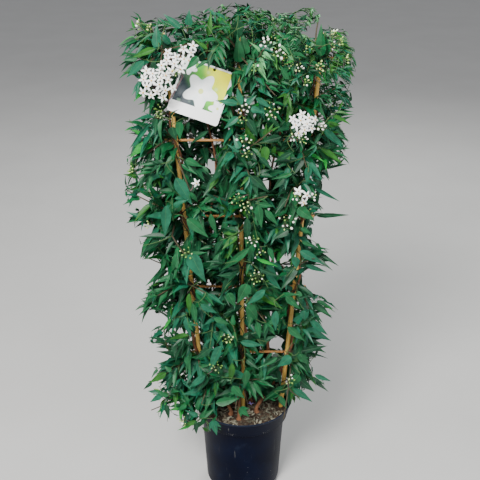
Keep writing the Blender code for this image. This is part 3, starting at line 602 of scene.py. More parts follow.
class Finish:
    """A material whose nodes are added by a function below."""

    def __init__(self, name):
        self.material = bpy.data.materials.new(name)
        self.material.use_nodes = True
        self.tree = self.material.node_tree
        self.shader = self.tree.nodes["Principled BSDF"]
        self.start = Wired(self.tree)
        self.place = self.start.node("ShaderNodeTexCoord", out=3)

    def stretched(self, x, y, z):
        """The place on the piece, scaled along each axis."""
        inputs = {"Vector": self.place, "Scale": (x, y, z)}
        return self.start.node("ShaderNodeMapping", inputs)

    def grain(self, scale, detail=2.0, roughness=0.5, place=None, distortion=0.0):
        inputs = {"Vector": place or self.place, "Scale": scale, "Detail": detail}
        inputs |= {"Roughness": roughness, "Distortion": distortion}
        return self.start.node("ShaderNodeTexNoise", inputs)

    def cells(self, scale, place=None, randomness=1.0):
        inputs = {"Vector": place or self.place, "Scale": scale, "Randomness": randomness}
        return self.start.node("ShaderNodeTexVoronoi", inputs)

    def part_of_place(self, axis):
        return self.start.node("ShaderNodeSeparateXYZ", {0: self.place}, out="XYZ".index(axis))

    def use(self, **inputs):
        """Sets the shader's sockets, named with _ for a space, to values or links."""
        for name, value in inputs.items():
            socket = self.shader.inputs[name.replace("_", " ")]
            if isinstance(value, Wired):
                self.tree.links.new(value.output, socket)
            else:
                socket.default_value = value
        return self.material

    def done(self, colour, roughness, relief, distance, strength, **others):
        """The material, with its colour, its roughness and the bumps of its relief."""
        bump = {"Height": relief, "Distance": distance, "Strength": strength}
        normal = self.start.node("ShaderNodeBump", bump)
        return self.use(Base_Color=colour, Roughness=roughness, Normal=normal, **others)


def two_toned(name, scale, dark, pale, roughness, relief, strength, detail=2.0, low=0.3, high=0.7):
    """A finish of two tones that follow one fine grain, which stands out a little too."""
    f = Finish(name)
    tone = f.grain(scale, detail=detail).ramp(low, high)
    return f.done(tone.blend(dark, pale), roughness, tone, relief, strength)


def pot_plastic():
    """Blue-black moulded plastic, paler along the top of its lip, with dust along the collar's lower edge,
    and lightly scuffed.
    """
    f = Finish("pot_plastic")
    z = f.part_of_place("Z")
    edge = POT_HEIGHT - COLLAR_DEPTH
    mottled = f.grain(14.0, detail=4.0).ramp(0.35, 0.7)
    body = mottled.blend((0.0001, 0.0011, 0.0078), (0.0003, 0.0021, 0.0125))
    film = f.grain(26.0, detail=5.0, roughness=0.65).ramp(0.58, 0.78) * 0.16
    # Paler along the top of the lip.
    on_lip = z.ramp(POT_HEIGHT - 0.0035, POT_HEIGHT) * 0.30
    dust_film_and_pale_lip = f.start.maths("MAXIMUM", film, on_lip).blend(body, (0.034, 0.050, 0.086))
    near_edge = z.ramp(edge - 0.004, edge + 0.003) * z.ramp(edge + 0.012, edge + 0.004)
    patches = f.grain(30.0, detail=1.0).ramp(0.50, 0.60)
    crumbs = f.cells(420.0).ramp(0.26, 0.14) * near_edge * patches
    strays = f.cells(105.0).ramp(0.075, 0.035) * f.grain(9.0).ramp(0.52, 0.62)
    streaks = f.grain(1.0, detail=3.0, place=f.stretched(160, 160, 9)).ramp(0.68, 0.80) * 0.25
    specks = f.start.maths("MAXIMUM", crumbs, f.start.maths("MAXIMUM", strays, streaks))
    colour = specks.blend(dust_film_and_pale_lip, (0.42, 0.42, 0.38))
    rough = 0.40 + film * 0.6 + specks * 0.4 + f.grain(220.0) * 0.08
    relief = f.grain(600.0, detail=2.0) * 0.5 + f.grain(60.0, detail=3.0) * 0.5
    return f.done(colour, rough, relief, 0.0003, 0.5, Specular_IOR_Level=0.08)


def compost():
    f = Finish("compost")
    clods = f.grain(90.0, detail=6.0, roughness=0.7)
    colour = clods.ramp(0.32, 0.70).blend((0.012, 0.0075, 0.0050), (0.080, 0.046, 0.026))
    relief = clods + f.grain(420.0, detail=3.0) * 0.4
    return f.done(colour, 0.97, relief, 0.0022, 0.9)


def wood_chip(name, dark, pale):
    f = Finish(name)
    fibres = f.grain(1.0, detail=4.0, place=f.stretched(160, 160, 520))
    patches = f.grain(55.0, detail=2.0).ramp(0.3, 0.7)
    colour = (fibres.ramp(0.3, 0.7) * 0.6 + patches * 0.4).blend(dark, pale)
    return f.done(colour, 0.88, fibres, 0.0006, 0.7)


def bamboo():
    """Golden tan cane with fine fibres along it and weathered patches."""
    f = Finish("bamboo")
    fibres = f.grain(1.0, detail=4.0, roughness=0.6, place=f.stretched(650, 650, 14))
    stains = f.grain(1.0, detail=4.0, place=f.stretched(90, 90, 17))
    base = fibres.ramp(0.25, 0.75).blend((0.88, 0.470, 0.085), (1.00, 0.700, 0.200))
    weathered = stains.ramp(0.55, 0.80) * 0.4
    colour = weathered.blend(base, (0.60, 0.290, 0.070))
    return f.done(colour, 0.36 + stains * 0.25, fibres, 0.0004, 0.6)


def bamboo_pith():
    f = Finish("bamboo_pith")
    pores = f.cells(2600.0).ramp(0.1, 0.5)
    colour = pores.blend((0.16, 0.095, 0.042), (0.50, 0.36, 0.19))
    return f.done(colour, 0.9, pores, 0.0003, 0.6)


def split_cane():
    """Redder, paler-ended crossbar cane, its fibres along X."""
    f = Finish("split_cane")
    fibres = f.grain(1.0, detail=4.0, roughness=0.6, place=f.stretched(16, 800, 800))
    stains = f.grain(1.0, detail=3.0, place=f.stretched(22, 130, 130)).ramp(0.45, 0.75)
    base = fibres.ramp(0.25, 0.75).blend((0.66, 0.250, 0.060), (0.98, 0.520, 0.190))
    colour = (stains * 0.4).blend(base, (0.48, 0.165, 0.045))
    return f.done(colour, 0.55, fibres, 0.0003, 0.6)


def dark_wire():
    f = Finish("dark_wire")
    worn = f.grain(900.0, detail=3.0).ramp(0.45, 0.7)
    colour = worn.blend((0.010, 0.013, 0.011), (0.040, 0.046, 0.036))
    return f.done(colour, 0.42 + worn * 0.2, worn, 0.0001, 0.5)


def bark(name, dark, pale):
    """Thin reddish bark with cracks along the stem and small pale breathing pores."""
    f = Finish(name)
    cracks = f.grain(1.0, detail=5.0, roughness=0.65, place=f.stretched(520, 520, 90), distortion=0.6)
    tone = f.grain(70.0, detail=3.0).ramp(0.3, 0.7)
    base = (cracks.ramp(0.3, 0.72) * 0.65 + tone * 0.35).blend(dark, pale)
    pores = f.cells(900.0).ramp(0.16, 0.07) * f.grain(160.0).ramp(0.5, 0.6)
    colour = (pores * 0.7).blend(base, tinted(pale, 1.9))
    return f.done(colour, 0.8, cracks + pores * 0.5, 0.0008, 0.8)


def leaf_skin(name, colour, gloss):
    """A waxy leaf: one plain green, a little uneven, with fine cross veins in its relief."""
    f = Finish(name)
    uneven = f.grain(75.0, detail=3.0).ramp(0.28, 0.74)
    veins = f.grain(1.0, detail=2.0, place=f.stretched(420, 420, 420))
    shade = uneven.blend(tinted(colour, 0.74), tinted(colour, 1.26))
    return f.done(shade, (1 - gloss) + veins * 0.12, veins, 0.0003, 0.35, Specular_IOR_Level=0.24)


# The blossoms of the print: middle across and up the card, size, and turn.
PRINTED_BLOSSOMS = ((0.50, 0.50, 0.335, 0.4), (0.16, 0.86, 0.15, 1.3), (0.90, 0.30, 0.17, 2.2))
PRINT_EDGES, PRINT_SOFT = (0.030, 0.955, 0.205, 0.968), 0.004


def label_print():
    """A glossy card: a bare white band below a soft green picture of a plain round-petalled blossom."""
    f = Finish("label_print")
    uv = f.start.node("ShaderNodeTexCoord", out=2)
    u, v = (f.start.node("ShaderNodeSeparateXYZ", {0: uv}, out=k) for k in (0, 1))
    drift = f.grain(28.0, detail=2.0)
    warm = (u * 0.75 + v * 0.55 + drift * 0.35 - 0.42).ramp(0.1, 0.95)
    cool = warm.ramp(0.0, 0.45).blend((0.001, 0.016, 0.028), (0.09, 0.46, 0.030))
    field = warm.ramp(0.45, 1.0).blend(cool, (0.88, 0.86, 0.005))
    glow = f.cells(55.0).ramp(0.35, 0.05) * 0.35
    field = glow.blend(field, (0.55, 0.85, 0.55))
    for centre_u, centre_v, size, turn in PRINTED_BLOSSOMS:
        du, dv = u - centre_u, v - centre_v
        away = f.start.maths("SQRT", du * du + dv * dv)
        angle = f.start.maths("ARCTAN2", dv, du)
        lobes = f.start.maths("COSINE", angle * 5 + turn)
        edge = away / (lobes * 0.20 * size + 0.82 * size)
        petals = edge.ramp(1.03, 0.97)
        shade = (edge.ramp(0.2, 1.0) * 0.5 + lobes.ramp(0.2, -1.0) * 0.5) * 0.45
        field = petals.blend(field, shade.blend((0.92, 0.93, 0.92), (0.66, 0.78, 0.80)))
        heart = (away / size).ramp(0.17, 0.12)
        field = heart.blend(field, (0.66, 0.74, 0.22))
    left, right, low, high = PRINT_EDGES
    across = u.ramp(left, left + PRINT_SOFT) * u.ramp(right, right - PRINT_SOFT)
    inside = across * v.ramp(low, low + PRINT_SOFT) * v.ramp(high, high - PRINT_SOFT)
    colour = inside.blend((0.86, 0.86, 0.85), field)
    rough = 0.26 + f.grain(40.0, detail=3.0) * 0.12
    return f.done(colour, rough, f.grain(60.0), 0.0002, 0.2, Specular_IOR_Level=0.15)


def card_white():
    f = Finish("card_white")
    fibre = f.grain(500.0, detail=3.0)
    colour = fibre.ramp(0.3, 0.7).blend((0.70, 0.70, 0.68), (0.80, 0.80, 0.78))
    return f.done(colour, 0.6, fibre, 0.0001, 0.3)


def stage_floor():
    f = Finish("stage_floor")
    tone = f.grain(3.0, detail=3.0).ramp(0.3, 0.7)
    return f.use(Base_Color=tone.blend((0.50, 0.49, 0.48), (0.52, 0.51, 0.50)), Roughness=0.9)


# The deep tint is the leaves' own dark green and also painted shade in the dark hollow below the label. The
# bright tint is painted light shining through the leaves at the side edges and behind. The young tint is the
# pale green of young leaves and also a painted sheen along the top rim on the right.
LEAF_TINTS = (
    ("leaf_deep_and_painted_shade", (0.0040, 0.0430, 0.0170), 0.60),
    ("leaf_green", (0.0060, 0.0820, 0.0260), 0.58),
    ("leaf_blue", (0.0080, 0.0920, 0.0480), 0.62),
    ("leaf_olive", (0.0180, 0.1020, 0.0120), 0.54),
    ("leaf_painted_backlight", (0.0120, 0.2000, 0.0260), 0.48),
    ("leaf_young_and_painted_sheen", (0.0800, 0.2600, 0.1000), 0.48),
)
DEEP_AND_PAINTED_SHADE, GREEN, BLUE, OLIVE, PAINTED_BACKLIGHT, YOUNG_AND_PAINTED_SHEEN = range(len(LEAF_TINTS))
LEAF_FINISHES = [leaf_skin(*tint) for tint in LEAF_TINTS]
RIB = len(LEAF_FINISHES)
RIB_GREENS = (0.018, 0.095, 0.030), (0.040, 0.150, 0.050)
LEAF_FINISHES.append(two_toned("leaf_rib", 300.0, *RIB_GREENS, 0.5, 0.0001, 0.4))
TWIG_FINISHES = [
    bark("twig_bark", (0.024, 0.020, 0.010), (0.085, 0.058, 0.026)),
    bark("green_shoot", (0.028, 0.070, 0.018), (0.075, 0.150, 0.040)),
    bark("flower_stalk", (0.060, 0.026, 0.042), (0.150, 0.090, 0.090)),
]
WOODY, SOFT, STALK = range(len(TWIG_FINISHES))
CALYX_GREEN, *BUD_FINISHES = [
    two_toned(name, 600.0, tinted(colour, 0.80), tinted(colour, 1.08), 0.5, 0.0002, 0.3)
    for name, colour in (
        ("calyx_green", (0.10, 0.20, 0.05)),
        ("bud_white", (0.84, 0.84, 0.76)),
        ("bud_cream", (0.50, 0.60, 0.22)),
        ("bud_green", (0.18, 0.34, 0.06)),
    )
]
BUD_WHITE, BUD_CREAM, BUD_GREEN = range(len(BUD_FINISHES))
PETAL_WHITES = (0.80, 0.82, 0.80), (0.93, 0.93, 0.90)
STAMEN_YELLOWS = (0.62, 0.24, 0.012), (0.86, 0.56, 0.030)
FLOWER_FINISHES = [
    two_toned("petal_white", 520.0, *PETAL_WHITES, 0.55, 0.0002, 0.3, high=0.75),
    two_toned("stamen_yellow", 700.0, *STAMEN_YELLOWS, 0.6, 0.0002, 0.5, low=0.35, high=0.65),
    CALYX_GREEN,
]
PETAL, STAMEN, CALYX = range(len(FLOWER_FINISHES))
CHIP_FINISHES = [
    wood_chip("chip_pale", (0.125, 0.112, 0.078), (0.33, 0.31, 0.23)),
    wood_chip("chip_tan", (0.052, 0.042, 0.026), (0.145, 0.118, 0.076)),
    wood_chip("chip_brown", (0.024, 0.017, 0.011), (0.080, 0.054, 0.032)),
    wood_chip("chip_grey", (0.055, 0.058, 0.040), (0.18, 0.18, 0.130)),
]


# Trees of geometry nodes for what repeats.


def new_tree(name, inputs):
    tree = bpy.data.node_groups.new(name, "GeometryNodeTree")
    for socket_name, kind in inputs:
        tree.interface.new_socket(socket_name, in_out="INPUT", socket_type="NodeSocket" + kind)
    tree.interface.new_socket("Made", in_out="OUTPUT", socket_type="NodeSocketGeometry")
    given = tree.nodes.new("NodeGroupInput")
    return tree, {socket.name: Wired(tree, socket) for socket in given.outputs if socket.name}


def attribute(start, name, kind):
    return start.node("GeometryNodeInputNamedAttribute", {"Name": name}, data_type=kind)


def finish_tree(tree, shape, number, given, count):
    """Ends a tree: real geometry, with Finish k set wherever the number is k."""
    made = shape.node("GeometryNodeRealizeInstances", {0: shape})
    for k in range(count):
        chosen = made.node("FunctionNodeCompare", {2: number, 3: k}, data_type="INT", operation="EQUAL")
        inputs = {0: made, "Selection": chosen, "Material": given[f"Finish {k}"]}
        made = made.node("GeometryNodeSetMaterial", inputs)
    end = tree.nodes.new("NodeGroupOutput")
    tree.links.new(made.output, end.inputs[0])
    return tree


def finish_inputs(count):
    return [(f"Finish {k}", "Material") for k in range(count)]


def scatter_tree(count):
    """Sets one of several kinds at each point, turned and sized as the point says."""
    inputs = [("Points", "Geometry"), ("Kinds", "Collection"), ("Size", "Float"), *finish_inputs(count)]
    tree, given = new_tree(f"scatter_{count}", inputs)
    start = given["Points"]
    source = {"Collection": given["Kinds"], "Separate Children": True, "Reset Children": True}
    size = {0: attribute(start, "size", "FLOAT_VECTOR"), "Scale": given["Size"]}
    set_out = start.node(
        "GeometryNodeInstanceOnPoints",
        {
            "Points": start,
            "Instance": start.node("GeometryNodeCollectionInfo", source),
            "Pick Instance": True,
            "Instance Index": attribute(start, "kind", "INT"),
            "Rotation": attribute(start, "turn", "QUATERNION"),
            "Scale": start.node("ShaderNodeVectorMath", size, operation="SCALE"),
        },
    )
    own, tint = (attribute(start, name, "INT") for name in ("own_finish", "tint"))
    takes_tint = start.node("FunctionNodeCompare", {2: own, 3: 0}, data_type="INT", operation="LESS_THAN")
    number = start.node("GeometryNodeSwitch", {0: takes_tint, 1: own, 2: tint}, input_type="INT")
    return finish_tree(tree, set_out, number, given, count)


def pipe_tree(count):
    """Makes a round twig or wire along each run of edges, as thick as its points say."""
    inputs = [("Courses", "Geometry"), ("Sides", "Int"), *finish_inputs(count)]
    tree, given = new_tree(f"pipe_{count}", inputs)
    start = given["Courses"]
    line = start.node("GeometryNodeMeshToCurve", {0: start})
    line = start.node("GeometryNodeSetCurveRadius", {0: line, "Radius": attribute(start, "thick", "FLOAT")})
    section = start.node("GeometryNodeCurvePrimitiveCircle", {"Resolution": given["Sides"], "Radius": 1.0})
    scale = start.node("GeometryNodeInputRadius")
    shape = {"Curve": line, "Profile Curve": section, "Scale": scale, "Fill Caps": True}
    pipe = start.node("GeometryNodeCurveToMesh", shape)
    return finish_tree(tree, pipe, attribute(start, "tint", "INT"), given, count)


def run_tree(obj, tree, **values):
    """Runs a tree on an object with named inputs, and leaves the plain mesh that it makes."""
    modifier = obj.modifiers.new("made", "NODES")
    modifier.node_group = tree
    inputs = [item for item in tree.interface.items_tree if item.in_out == "INPUT"]
    identifiers = {item.name: item.identifier for item in inputs}
    for name, value in values.items():
        modifier[identifiers[name.replace("_", " ")]] = value
    made_real(obj)
    for name in ("turn", "size", "kind", "tint", "own_finish", "thick"):
        if name in obj.data.attributes:
            obj.data.attributes.remove(obj.data.attributes[name])
    return obj


def finish_values(finishes):
    return {f"Finish_{k}": finish for k, finish in enumerate(finishes)}


def set_attribute(obj, name, kind, values, field="value"):
    obj.data.attributes.new(name, kind, "POINT").data.foreach_set(field, list(values))


def scattered(name, places, shapes, finishes, slot, *nodes):
    """One joined piece of small shapes: each place is (point, turn, size, number of its shape, tint)."""
    points, turns, sizes, numbers, tints = zip(*places)
    kinds = kind_collection(name + "_kind", shapes)
    obj = new_object(name, points, [])
    set_attribute(obj, "turn", "QUATERNION", itertools.chain(*turns))
    set_attribute(obj, "size", "FLOAT_VECTOR", itertools.chain(*sizes), "vector")
    set_attribute(obj, "kind", "INT", numbers)
    set_attribute(obj, "tint", "INT", tints)
    run_tree(obj, scatter_tree(len(finishes)), Kinds=kinds, Size=1.0, **finish_values(finishes))
    for kind in list(kinds.objects):
        bpy.data.objects.remove(kind)
    bpy.data.collections.remove(kinds)
    return piece(obj, [], slot, *nodes)


def piped(name, courses, finishes, sides, slot, *nodes):
    """One joined piece of twigs or wires: each course is (points, radii, tint, closed)."""
    points, edges, radii, tints = [], [], [], []
    for course, thick, tint, closed in courses:
        first = len(points)
        points.extend(course)
        radii.extend(thick)
        tints.extend([tint] * len(course))
        edges.extend((first + i, first + i + 1) for i in range(len(course) - 1))
        if closed:
            edges.append((first + len(course) - 1, first))
    obj = new_object(name, points, [], edges)
    set_attribute(obj, "thick", "FLOAT", radii)
    set_attribute(obj, "tint", "INT", tints)
    run_tree(obj, pipe_tree(len(finishes)), Sides=sides, **finish_values(finishes))
    smooth(obj, 60)
    return piece(obj, [], slot, *nodes)


def kind_collection(name, shapes):
    """A collection of small shapes, each (points, faces, own finish of each face), in their order."""
    made = bpy.data.collections.new(name)
    bpy.context.scene.collection.children.link(made)
    for k, (points, faces, own) in enumerate(shapes):
        mesh = bpy.data.meshes.new(f"{name}_{k:02d}")
        mesh.from_pydata([tuple(p) for p in points], [], faces)
        mesh.update()
        mesh.shade_smooth()
        mesh.attributes.new("own_finish", "INT", "FACE").data.foreach_set("value", own)
        made.objects.link(bpy.data.objects.new(f"{name}_{k:02d}", mesh))
    return made


# The fan, as in the solids.


def fan_half(z):
    """Half the distance between the outer canes at a height."""
    return between(FAN_HALF_AT_SOIL, FAN_HALF_AT_TOP, (z - SOIL_TOP) / (CANE_TOP_Z - SOIL_TOP))


def cane_x(side, z):
    """The x of the left (-1), middle (0) or right (1) cane at a height."""
    if side:
        return side * fan_half(z)
    return MIDDLE_CANE_LEAN * (z - SOIL_TOP) / (CANE_TOP_Z - SOIL_TOP)


def cane_radius(z):
    return between(CANE_FOOT_R, CANE_TOP_R, share_of(z, CANE_FOOT_Z, CANE_TOP_Z))


def bar_z(number):
    return BAR_FIRST_Z + BAR_STEP * (number - 1)


def bar_y(number):
    return cane_radius(bar_z(number)) + CANE_NODE_SWELL + GAP + BAR_R


def bar_ends(number):
    z = bar_z(number)
    half = fan_half(z) + BAR_OVERHANG
    return [Vector((side * half, bar_y(number), z)) for side in (-1, 1)]


def cane_nodes(side):
    """The heights of a cane's nodes."""
    heights = []
    node = CANE_FOOT_Z + CANE_NODE_STEP * (FIRST_NODE_SHARE + FIRST_NODE_STAGGER * side)
    while node < CANE_TOP_Z - CANE_NODE_HALF:
        heights.append(node)
        node += CANE_NODE_STEP
    return heights


def tie_points(side, number):
    """A wire that slants across the front of a cane and closes round the crossbar behind it."""
    z = bar_z(number)
    hugs = GAP + TIE_R
    front = cane_radius(z) + CANE_NODE_SWELL + hugs
    above = BAR_R + hugs + TIE_SLACK
    half = (
        (TIE_FRONT_SPREAD * front, -front, above / 2),
        (TIE_SIDE_SPREAD * front, bar_y(number), above),
        (TIE_FRONT_SPREAD * front / 2, bar_y(number) + BAR_R + hugs, above / 2),
    )
    slant = 1 if (number + side) % 2 else -1
    right = [Vector((x, y, rise * slant)) for x, y, rise in half]
    left = [Vector((-p.x, p.y, -p.z)) for p in reversed(right)]
    return [Vector((cane_x(side, z), 0, z)) + p for p in right + left]


# The stems' courses, as in the solids.


def stem_radius(z):
    foot = SOIL_TOP + GAP
    radius = between(STEM_FOOT_R, STEM_TIP_R, share_of(z, foot, STEM_TOP_Z))
    flare = max(0.0, 1 - (z - foot) / STEM_FLARE_HEIGHT)
    return radius * (1 + (STEM_FLARE - 1) * flare)


def twining_point(stem, z):
    angle = TURN * (z - BAR_FIRST_Z) / BAR_STEP * stem["hand"]
    over_tie = TWINE_OVER_TIE * max(0.0, math.cos(angle)) ** 2
    radius = cane_radius(z) + CANE_NODE_SWELL + stem_radius(z) + TWINE_CLEAR + over_tie
    return Vector((cane_x(stem["side"], z) + radius * math.sin(angle), -radius * math.cos(angle), z))


def climbing_point(stem, z):
    phase = TURN * (z - BAR_FIRST_Z) / BACK_STEM_WAVE + stem["side"] * BACK_STEM_PHASE
    sway = BACK_STEM_SWAY * math.sin(phase)
    return Vector((stem["side"] * fan_half(z) + sway, BACK_STEM_Y, z))


def stem_course(name):
    """The points and radii of a stem, from its flat cut on the soil to its tip."""
    stem = STEMS[name]
    twines = stem["hand"] != 0
    course = twining_point if twines else climbing_point
    foot = Vector((*stem["foot"], SOIL_TOP + GAP))
    upright = foot + UP * STEM_FLARE_HEIGHT
    joins = course(stem, STEM_JOINS_CANE_Z)
    bend = Vector([between(a, b, share) for a, b, share in zip(foot, joins, BEND_SHARES)])
    points = [foot, upright]
    for share in BEND_STEPS:
        points.append(upright.lerp(bend, share).lerp(bend.lerp(joins, share), share))
    climb = STEM_TOP_Z - STEM_JOINS_CANE_Z
    steps = round(climb / BAR_STEP * (TWINE_POINTS if twines else CLIMB_POINTS))
    points += [course(stem, STEM_JOINS_CANE_Z + climb * i / steps) for i in range(steps + 1)]
    return points, [stem_radius(p.z) for p in points]


COURSES = {name: stem_course(name) for name in STEMS}


def stem_at(name, z):
    """The centre, heading and radius of a stem at a height."""
    points, radii = COURSES[name]
    for i in range(1, len(points)):
        if points[i].z >= z:
            share = share_of(z, points[i - 1].z, points[i].z)
            heading = (points[i] - points[i - 1]).normalized()
            return points[i - 1].lerp(points[i], share), heading, between(radii[i - 1], radii[i], share)
    raise ValueError(f"{name} doesn't reach {z}")


# The label's place.


def label_frame():
    """The label's across, up-the-card and facing directions."""
    return [LABEL_TURN @ Vector(way) for way in ((1, 0, 0), (0, 1, 0), (0, 0, 1))]


LABEL_ACROSS, LABEL_UP, LABEL_FACING = label_frame()


def label_point(across, up, out=0.0):
    return LABEL_CENTRE + LABEL_ACROSS * across + LABEL_UP * up + LABEL_FACING * out


def hole_centre():
    return label_point(LABEL_HOLE_ACROSS, LABEL_TALL / 2 - LABEL_HOLE_DOWN)


def loop_points():
    """The loop that passes through the label's hole, over its top edge and round the top crossbar."""
    turn = hole_centre() + LABEL_UP * (LOOP_TURN_R + LOOP_LIFT)
    bar = Vector((turn.x, bar_y(BAR_COUNT), bar_z(BAR_COUNT)))
    along = (turn - bar).normalized()
    across = (LABEL_UP - along * LABEL_UP.dot(along)).normalized()
    round_bar = BAR_R + GAP + LOOP_R
    points = []
    for centre, radius, start in ((turn, LOOP_TURN_R, -math.pi / 2), (bar, round_bar, math.pi / 2)):
        for k in range(LOOP_TURN_POINTS):
            angle = start + math.pi * k / (LOOP_TURN_POINTS - 1)
            points.append(centre + radius * (math.cos(angle) * along + math.sin(angle) * across))
    return points


# The crown's reach and the space of each mass, as in the solids.


def reach_at(z):
    for (low, low_left, low_right), (high, high_left, high_right) in zip(REACH, REACH[1:]):
        if z <= high:
            share = share_of(z, low, high)
            return between(low_left, high_left, share), between(low_right, high_right, share)
    return REACH[-1][1:]


def sideways_reach(p):
    left, right = reach_at(p.z)
    return left if p.x < 0 else right


def depth_reach(p, waisted=False):
    """How far the crown reaches to the front or back; leaves and fine shoots draw in at the crossbars."""
    front = p.y < 0
    low, high = (FRONT_REACH_LOW, FRONT_REACH_HIGH) if front else (BACK_REACH_LOW, BACK_REACH_HIGH)
    reach = between(low, high, share_of(p.z, SOIL_TOP, CROWN_TOP))
    if waisted:
        height = p.z + (0 if front else BACK_WAIST_LIFT)
        reach -= WAIST * noise.noise(Vector((0, p.y, height)) * WAIST_SCALE + WAIST_SHIFT)
        reach -= WAIST * (0.5 + 0.5 * math.cos(TURN * (height - bar_z(1)) / (bar_z(2) - bar_z(1))))
    return reach


def in_window(p):
    """Whether a point hides one of the windows from the eye in front."""
    stretch = -WINDOW_EYE.y / (p.y - WINDOW_EYE.y)
    x, z = p.x * stretch, WINDOW_EYE.z + (p.z - WINDOW_EYE.z) * stretch
    return any(math.hypot(x - wx, z - wz) < radius for wx, wz, radius in WINDOWS)


def hides_label(p, overhang=0.0):
    """Whether a point is in the room kept free in front of the label."""
    offset = p - LABEL_CENTRE
    beside = abs(offset.dot(LABEL_ACROSS)) < LABEL_WIDE / 2 - overhang
    beside = beside and abs(offset.dot(LABEL_UP)) < LABEL_TALL / 2 - overhang
    return beside and 0 < offset.dot(LABEL_FACING) < LABEL_ROOM


def in_crown(p, past=0.0):
    """Whether a point is inside the crown's outer shape, or past it by no more than so much."""
    tuft = noise.noise(Vector((p.x, p.y * TUFT_STRETCH, p.z)) * TUFT_SCALE) if past else 0.0
    wide, deep = sideways_reach(p), depth_reach(p, past > 0)
    across = abs(p.x) / (wide + past + EDGE_TUFT * tuft)
    deep = abs(p.y) / (deep + past)
    round_top = CROWN_TOP - CROWN_ROUNDING * (across**2 + deep**2)
    if past:
        falls = sum(fall * share_of(p.x, *stretch) for fall, stretch in TOP_FALLS)
        round_top += TOP_PEAK + TOP_TUFT * tuft - falls
    return across**CORNER_POWER + deep**CORNER_POWER < 1 and p.z < round_top


def in_hollow(p):
    """Whether a point of the outer leaves falls in a pit, a bay at the sides or a groove before or behind."""
    if p.z > HOLLOW_TOP:
        return False
    deep, aside = abs(p.y) / depth_reach(p), abs(p.x) / sideways_reach(p)
    hollows = (
        (aside > BAY_FROM, Vector((p.x, p.y * BAY_STRETCH, p.z)), BAY_UNDER),
        (deep > GROOVE_FROM, Vector((p.x * BAY_STRETCH, p.y, p.z)), BAY_UNDER),
        (deep > HOLLOW_FROM, p, HOLLOW_UNDER if p.y < 0 else BACK_HOLLOW_UNDER),
    )
    return any(outer and noise.noise(place * HOLLOW_SCALE) < under for outer, place, under in hollows)


def in_spots(p, spots, wider=1.0):
    """Whether a point falls in one of the round spots of the photograph."""
    px, py = to_photo(p)
    scale = wider * FOCAL_PIXELS / (p - EYE).length
    return any(math.hypot(px - x, py - y) < radius * scale for (x, y), radius in spots)


def in_sky(p):
    """Whether a point hides the sky that the photograph shows between sprays."""
    return in_spots(p, SEEN_SKY)


def in_shade(p):
    """Whether a point in front closes the deep dark hollow that the photograph shows below the label."""
    return p.y < SHADE_BEHIND and in_spots(p, SEEN_SHADE)


def above_floor(p):
    return p.z >= (SKIRT_FLOOR if p.x < 0 and p.y < 0 else CROWN_FLOOR)


def leaf_may_hang(p):
    """Leaves hang lowest in a short skirt beside the pot on the left."""
    left, right = SKIRT_LEAVES
    return p.z >= (SKIRT_LEAF_FLOOR if left < p.x < right and p.y < 0 else LEAF_FLOOR)


def within_reach(p, past=0.0):
    return above_floor(p) and in_crown(p, past) and not in_window(p) and not hides_label(p)


def in_box(p):
    """Whether a point is inside the solids' own box, or stands out of it by a small share of its size."""
    return all(
        low - (high - low) * room < c < high + (high - low) * room
        for c, low, high, room in zip(p, *solid_box, BOX_ROOM)
    )


class Space(namedtuple("Space", "left right low high tilt front")):
    """The room one mass keeps to, between two planes that fan out from the pot and two sloping floors."""

    def holds(self, p, margin=0.0, overlap=0.0):
        """Whether a point is in the space; fine twigs may overlap the plane between front and back."""
        edge = MASS_GAP + margin
        across = fan_half(p.z)
        if not (self.left * across + edge < p.x < self.right * across - edge):
            return False
        if not (self.low + edge < p.z - self.tilt * p.x < self.high - edge):
            return False
        inside = BACK_PLANE_Y - p.y if self.front else p.y - BACK_PLANE_Y
        return inside >= edge - overlap and within_reach(p, FINE_PAST if overlap else 0.0)

    def sample(self, rng, overlap=0.0, aside=False):
        """A point of the space, drawn evenly, well inside it; or from the strip beside the outer cane."""
        while True:
            z = rng.uniform(SKIRT_FLOOR, CROWN_TOP)
            y = rng.uniform(*((-FRONT_REACH_HIGH, 2 * overlap) if self.front else (0, BACK_REACH_HIGH)))
            p = Vector((rng.uniform(-CROWN_HALF_WIDE, CROWN_HALF_WIDE), y, z))
            in_strip = abs(p.x) > fan_half(z) + STRIP_FROM_CANE and abs(y - BACK_PLANE_Y) < STRIP_HALF_DEEP
            if (in_strip or not aside) and self.holds(p, TIP_MARGIN, overlap):
                return p


def spaces():
    """Every mass's name with its space, its column, the stem that feeds it and the height of its foot."""
    made = {}
    skirt_top = TIER_LOWS[0] + LEFT_STAGGER
    columns = (
        ("front_left", -FAR, -0.5, "stem_left", True, -TIER_TILT, LEFT_STAGGER),
        ("front_middle", -0.5, 0.5, "stem_middle", True, -TIER_TILT, MIDDLE_STAGGER),
        ("front_right", 0.5, FAR, "stem_right", True, TIER_TILT, RIGHT_STAGGER),
        ("back_left", -FAR, 0.0, "stem_back_left", False, TIER_TILT, MIDDLE_STAGGER),
        ("back_right", 0.0, FAR, "stem_back_right", False, -TIER_TILT, 0.0),
    )
    for name, left, right, stem, front, tilt, stagger in columns:
        for tier in range(BAR_COUNT):
            low = TIER_LOWS[tier] + stagger if tier else -FAR
            if tier == 0 and name == "front_left":
                low = skirt_top
            high = TIER_LOWS[tier + 1] + stagger if tier + 1 < BAR_COUNT else FAR
            foot = bar_z(tier + 1) + (FRONT_FOOT_OVER_BAR if front else -BACK_FOOT_UNDER_BAR)
            space = Space(left, right, low, high, tilt, front)
            made[f"leaves_{name}_{tier + 1}"] = (space, name, stem, foot)
    skirt = Space(-FAR, -0.5, -FAR, skirt_top, -TIER_TILT, True)
    made["leaves_skirt"] = (skirt, "front_left", "stem_left", SKIRT_FOOT_Z)
    return made


# Plain shapes for the search trees and for limbs.


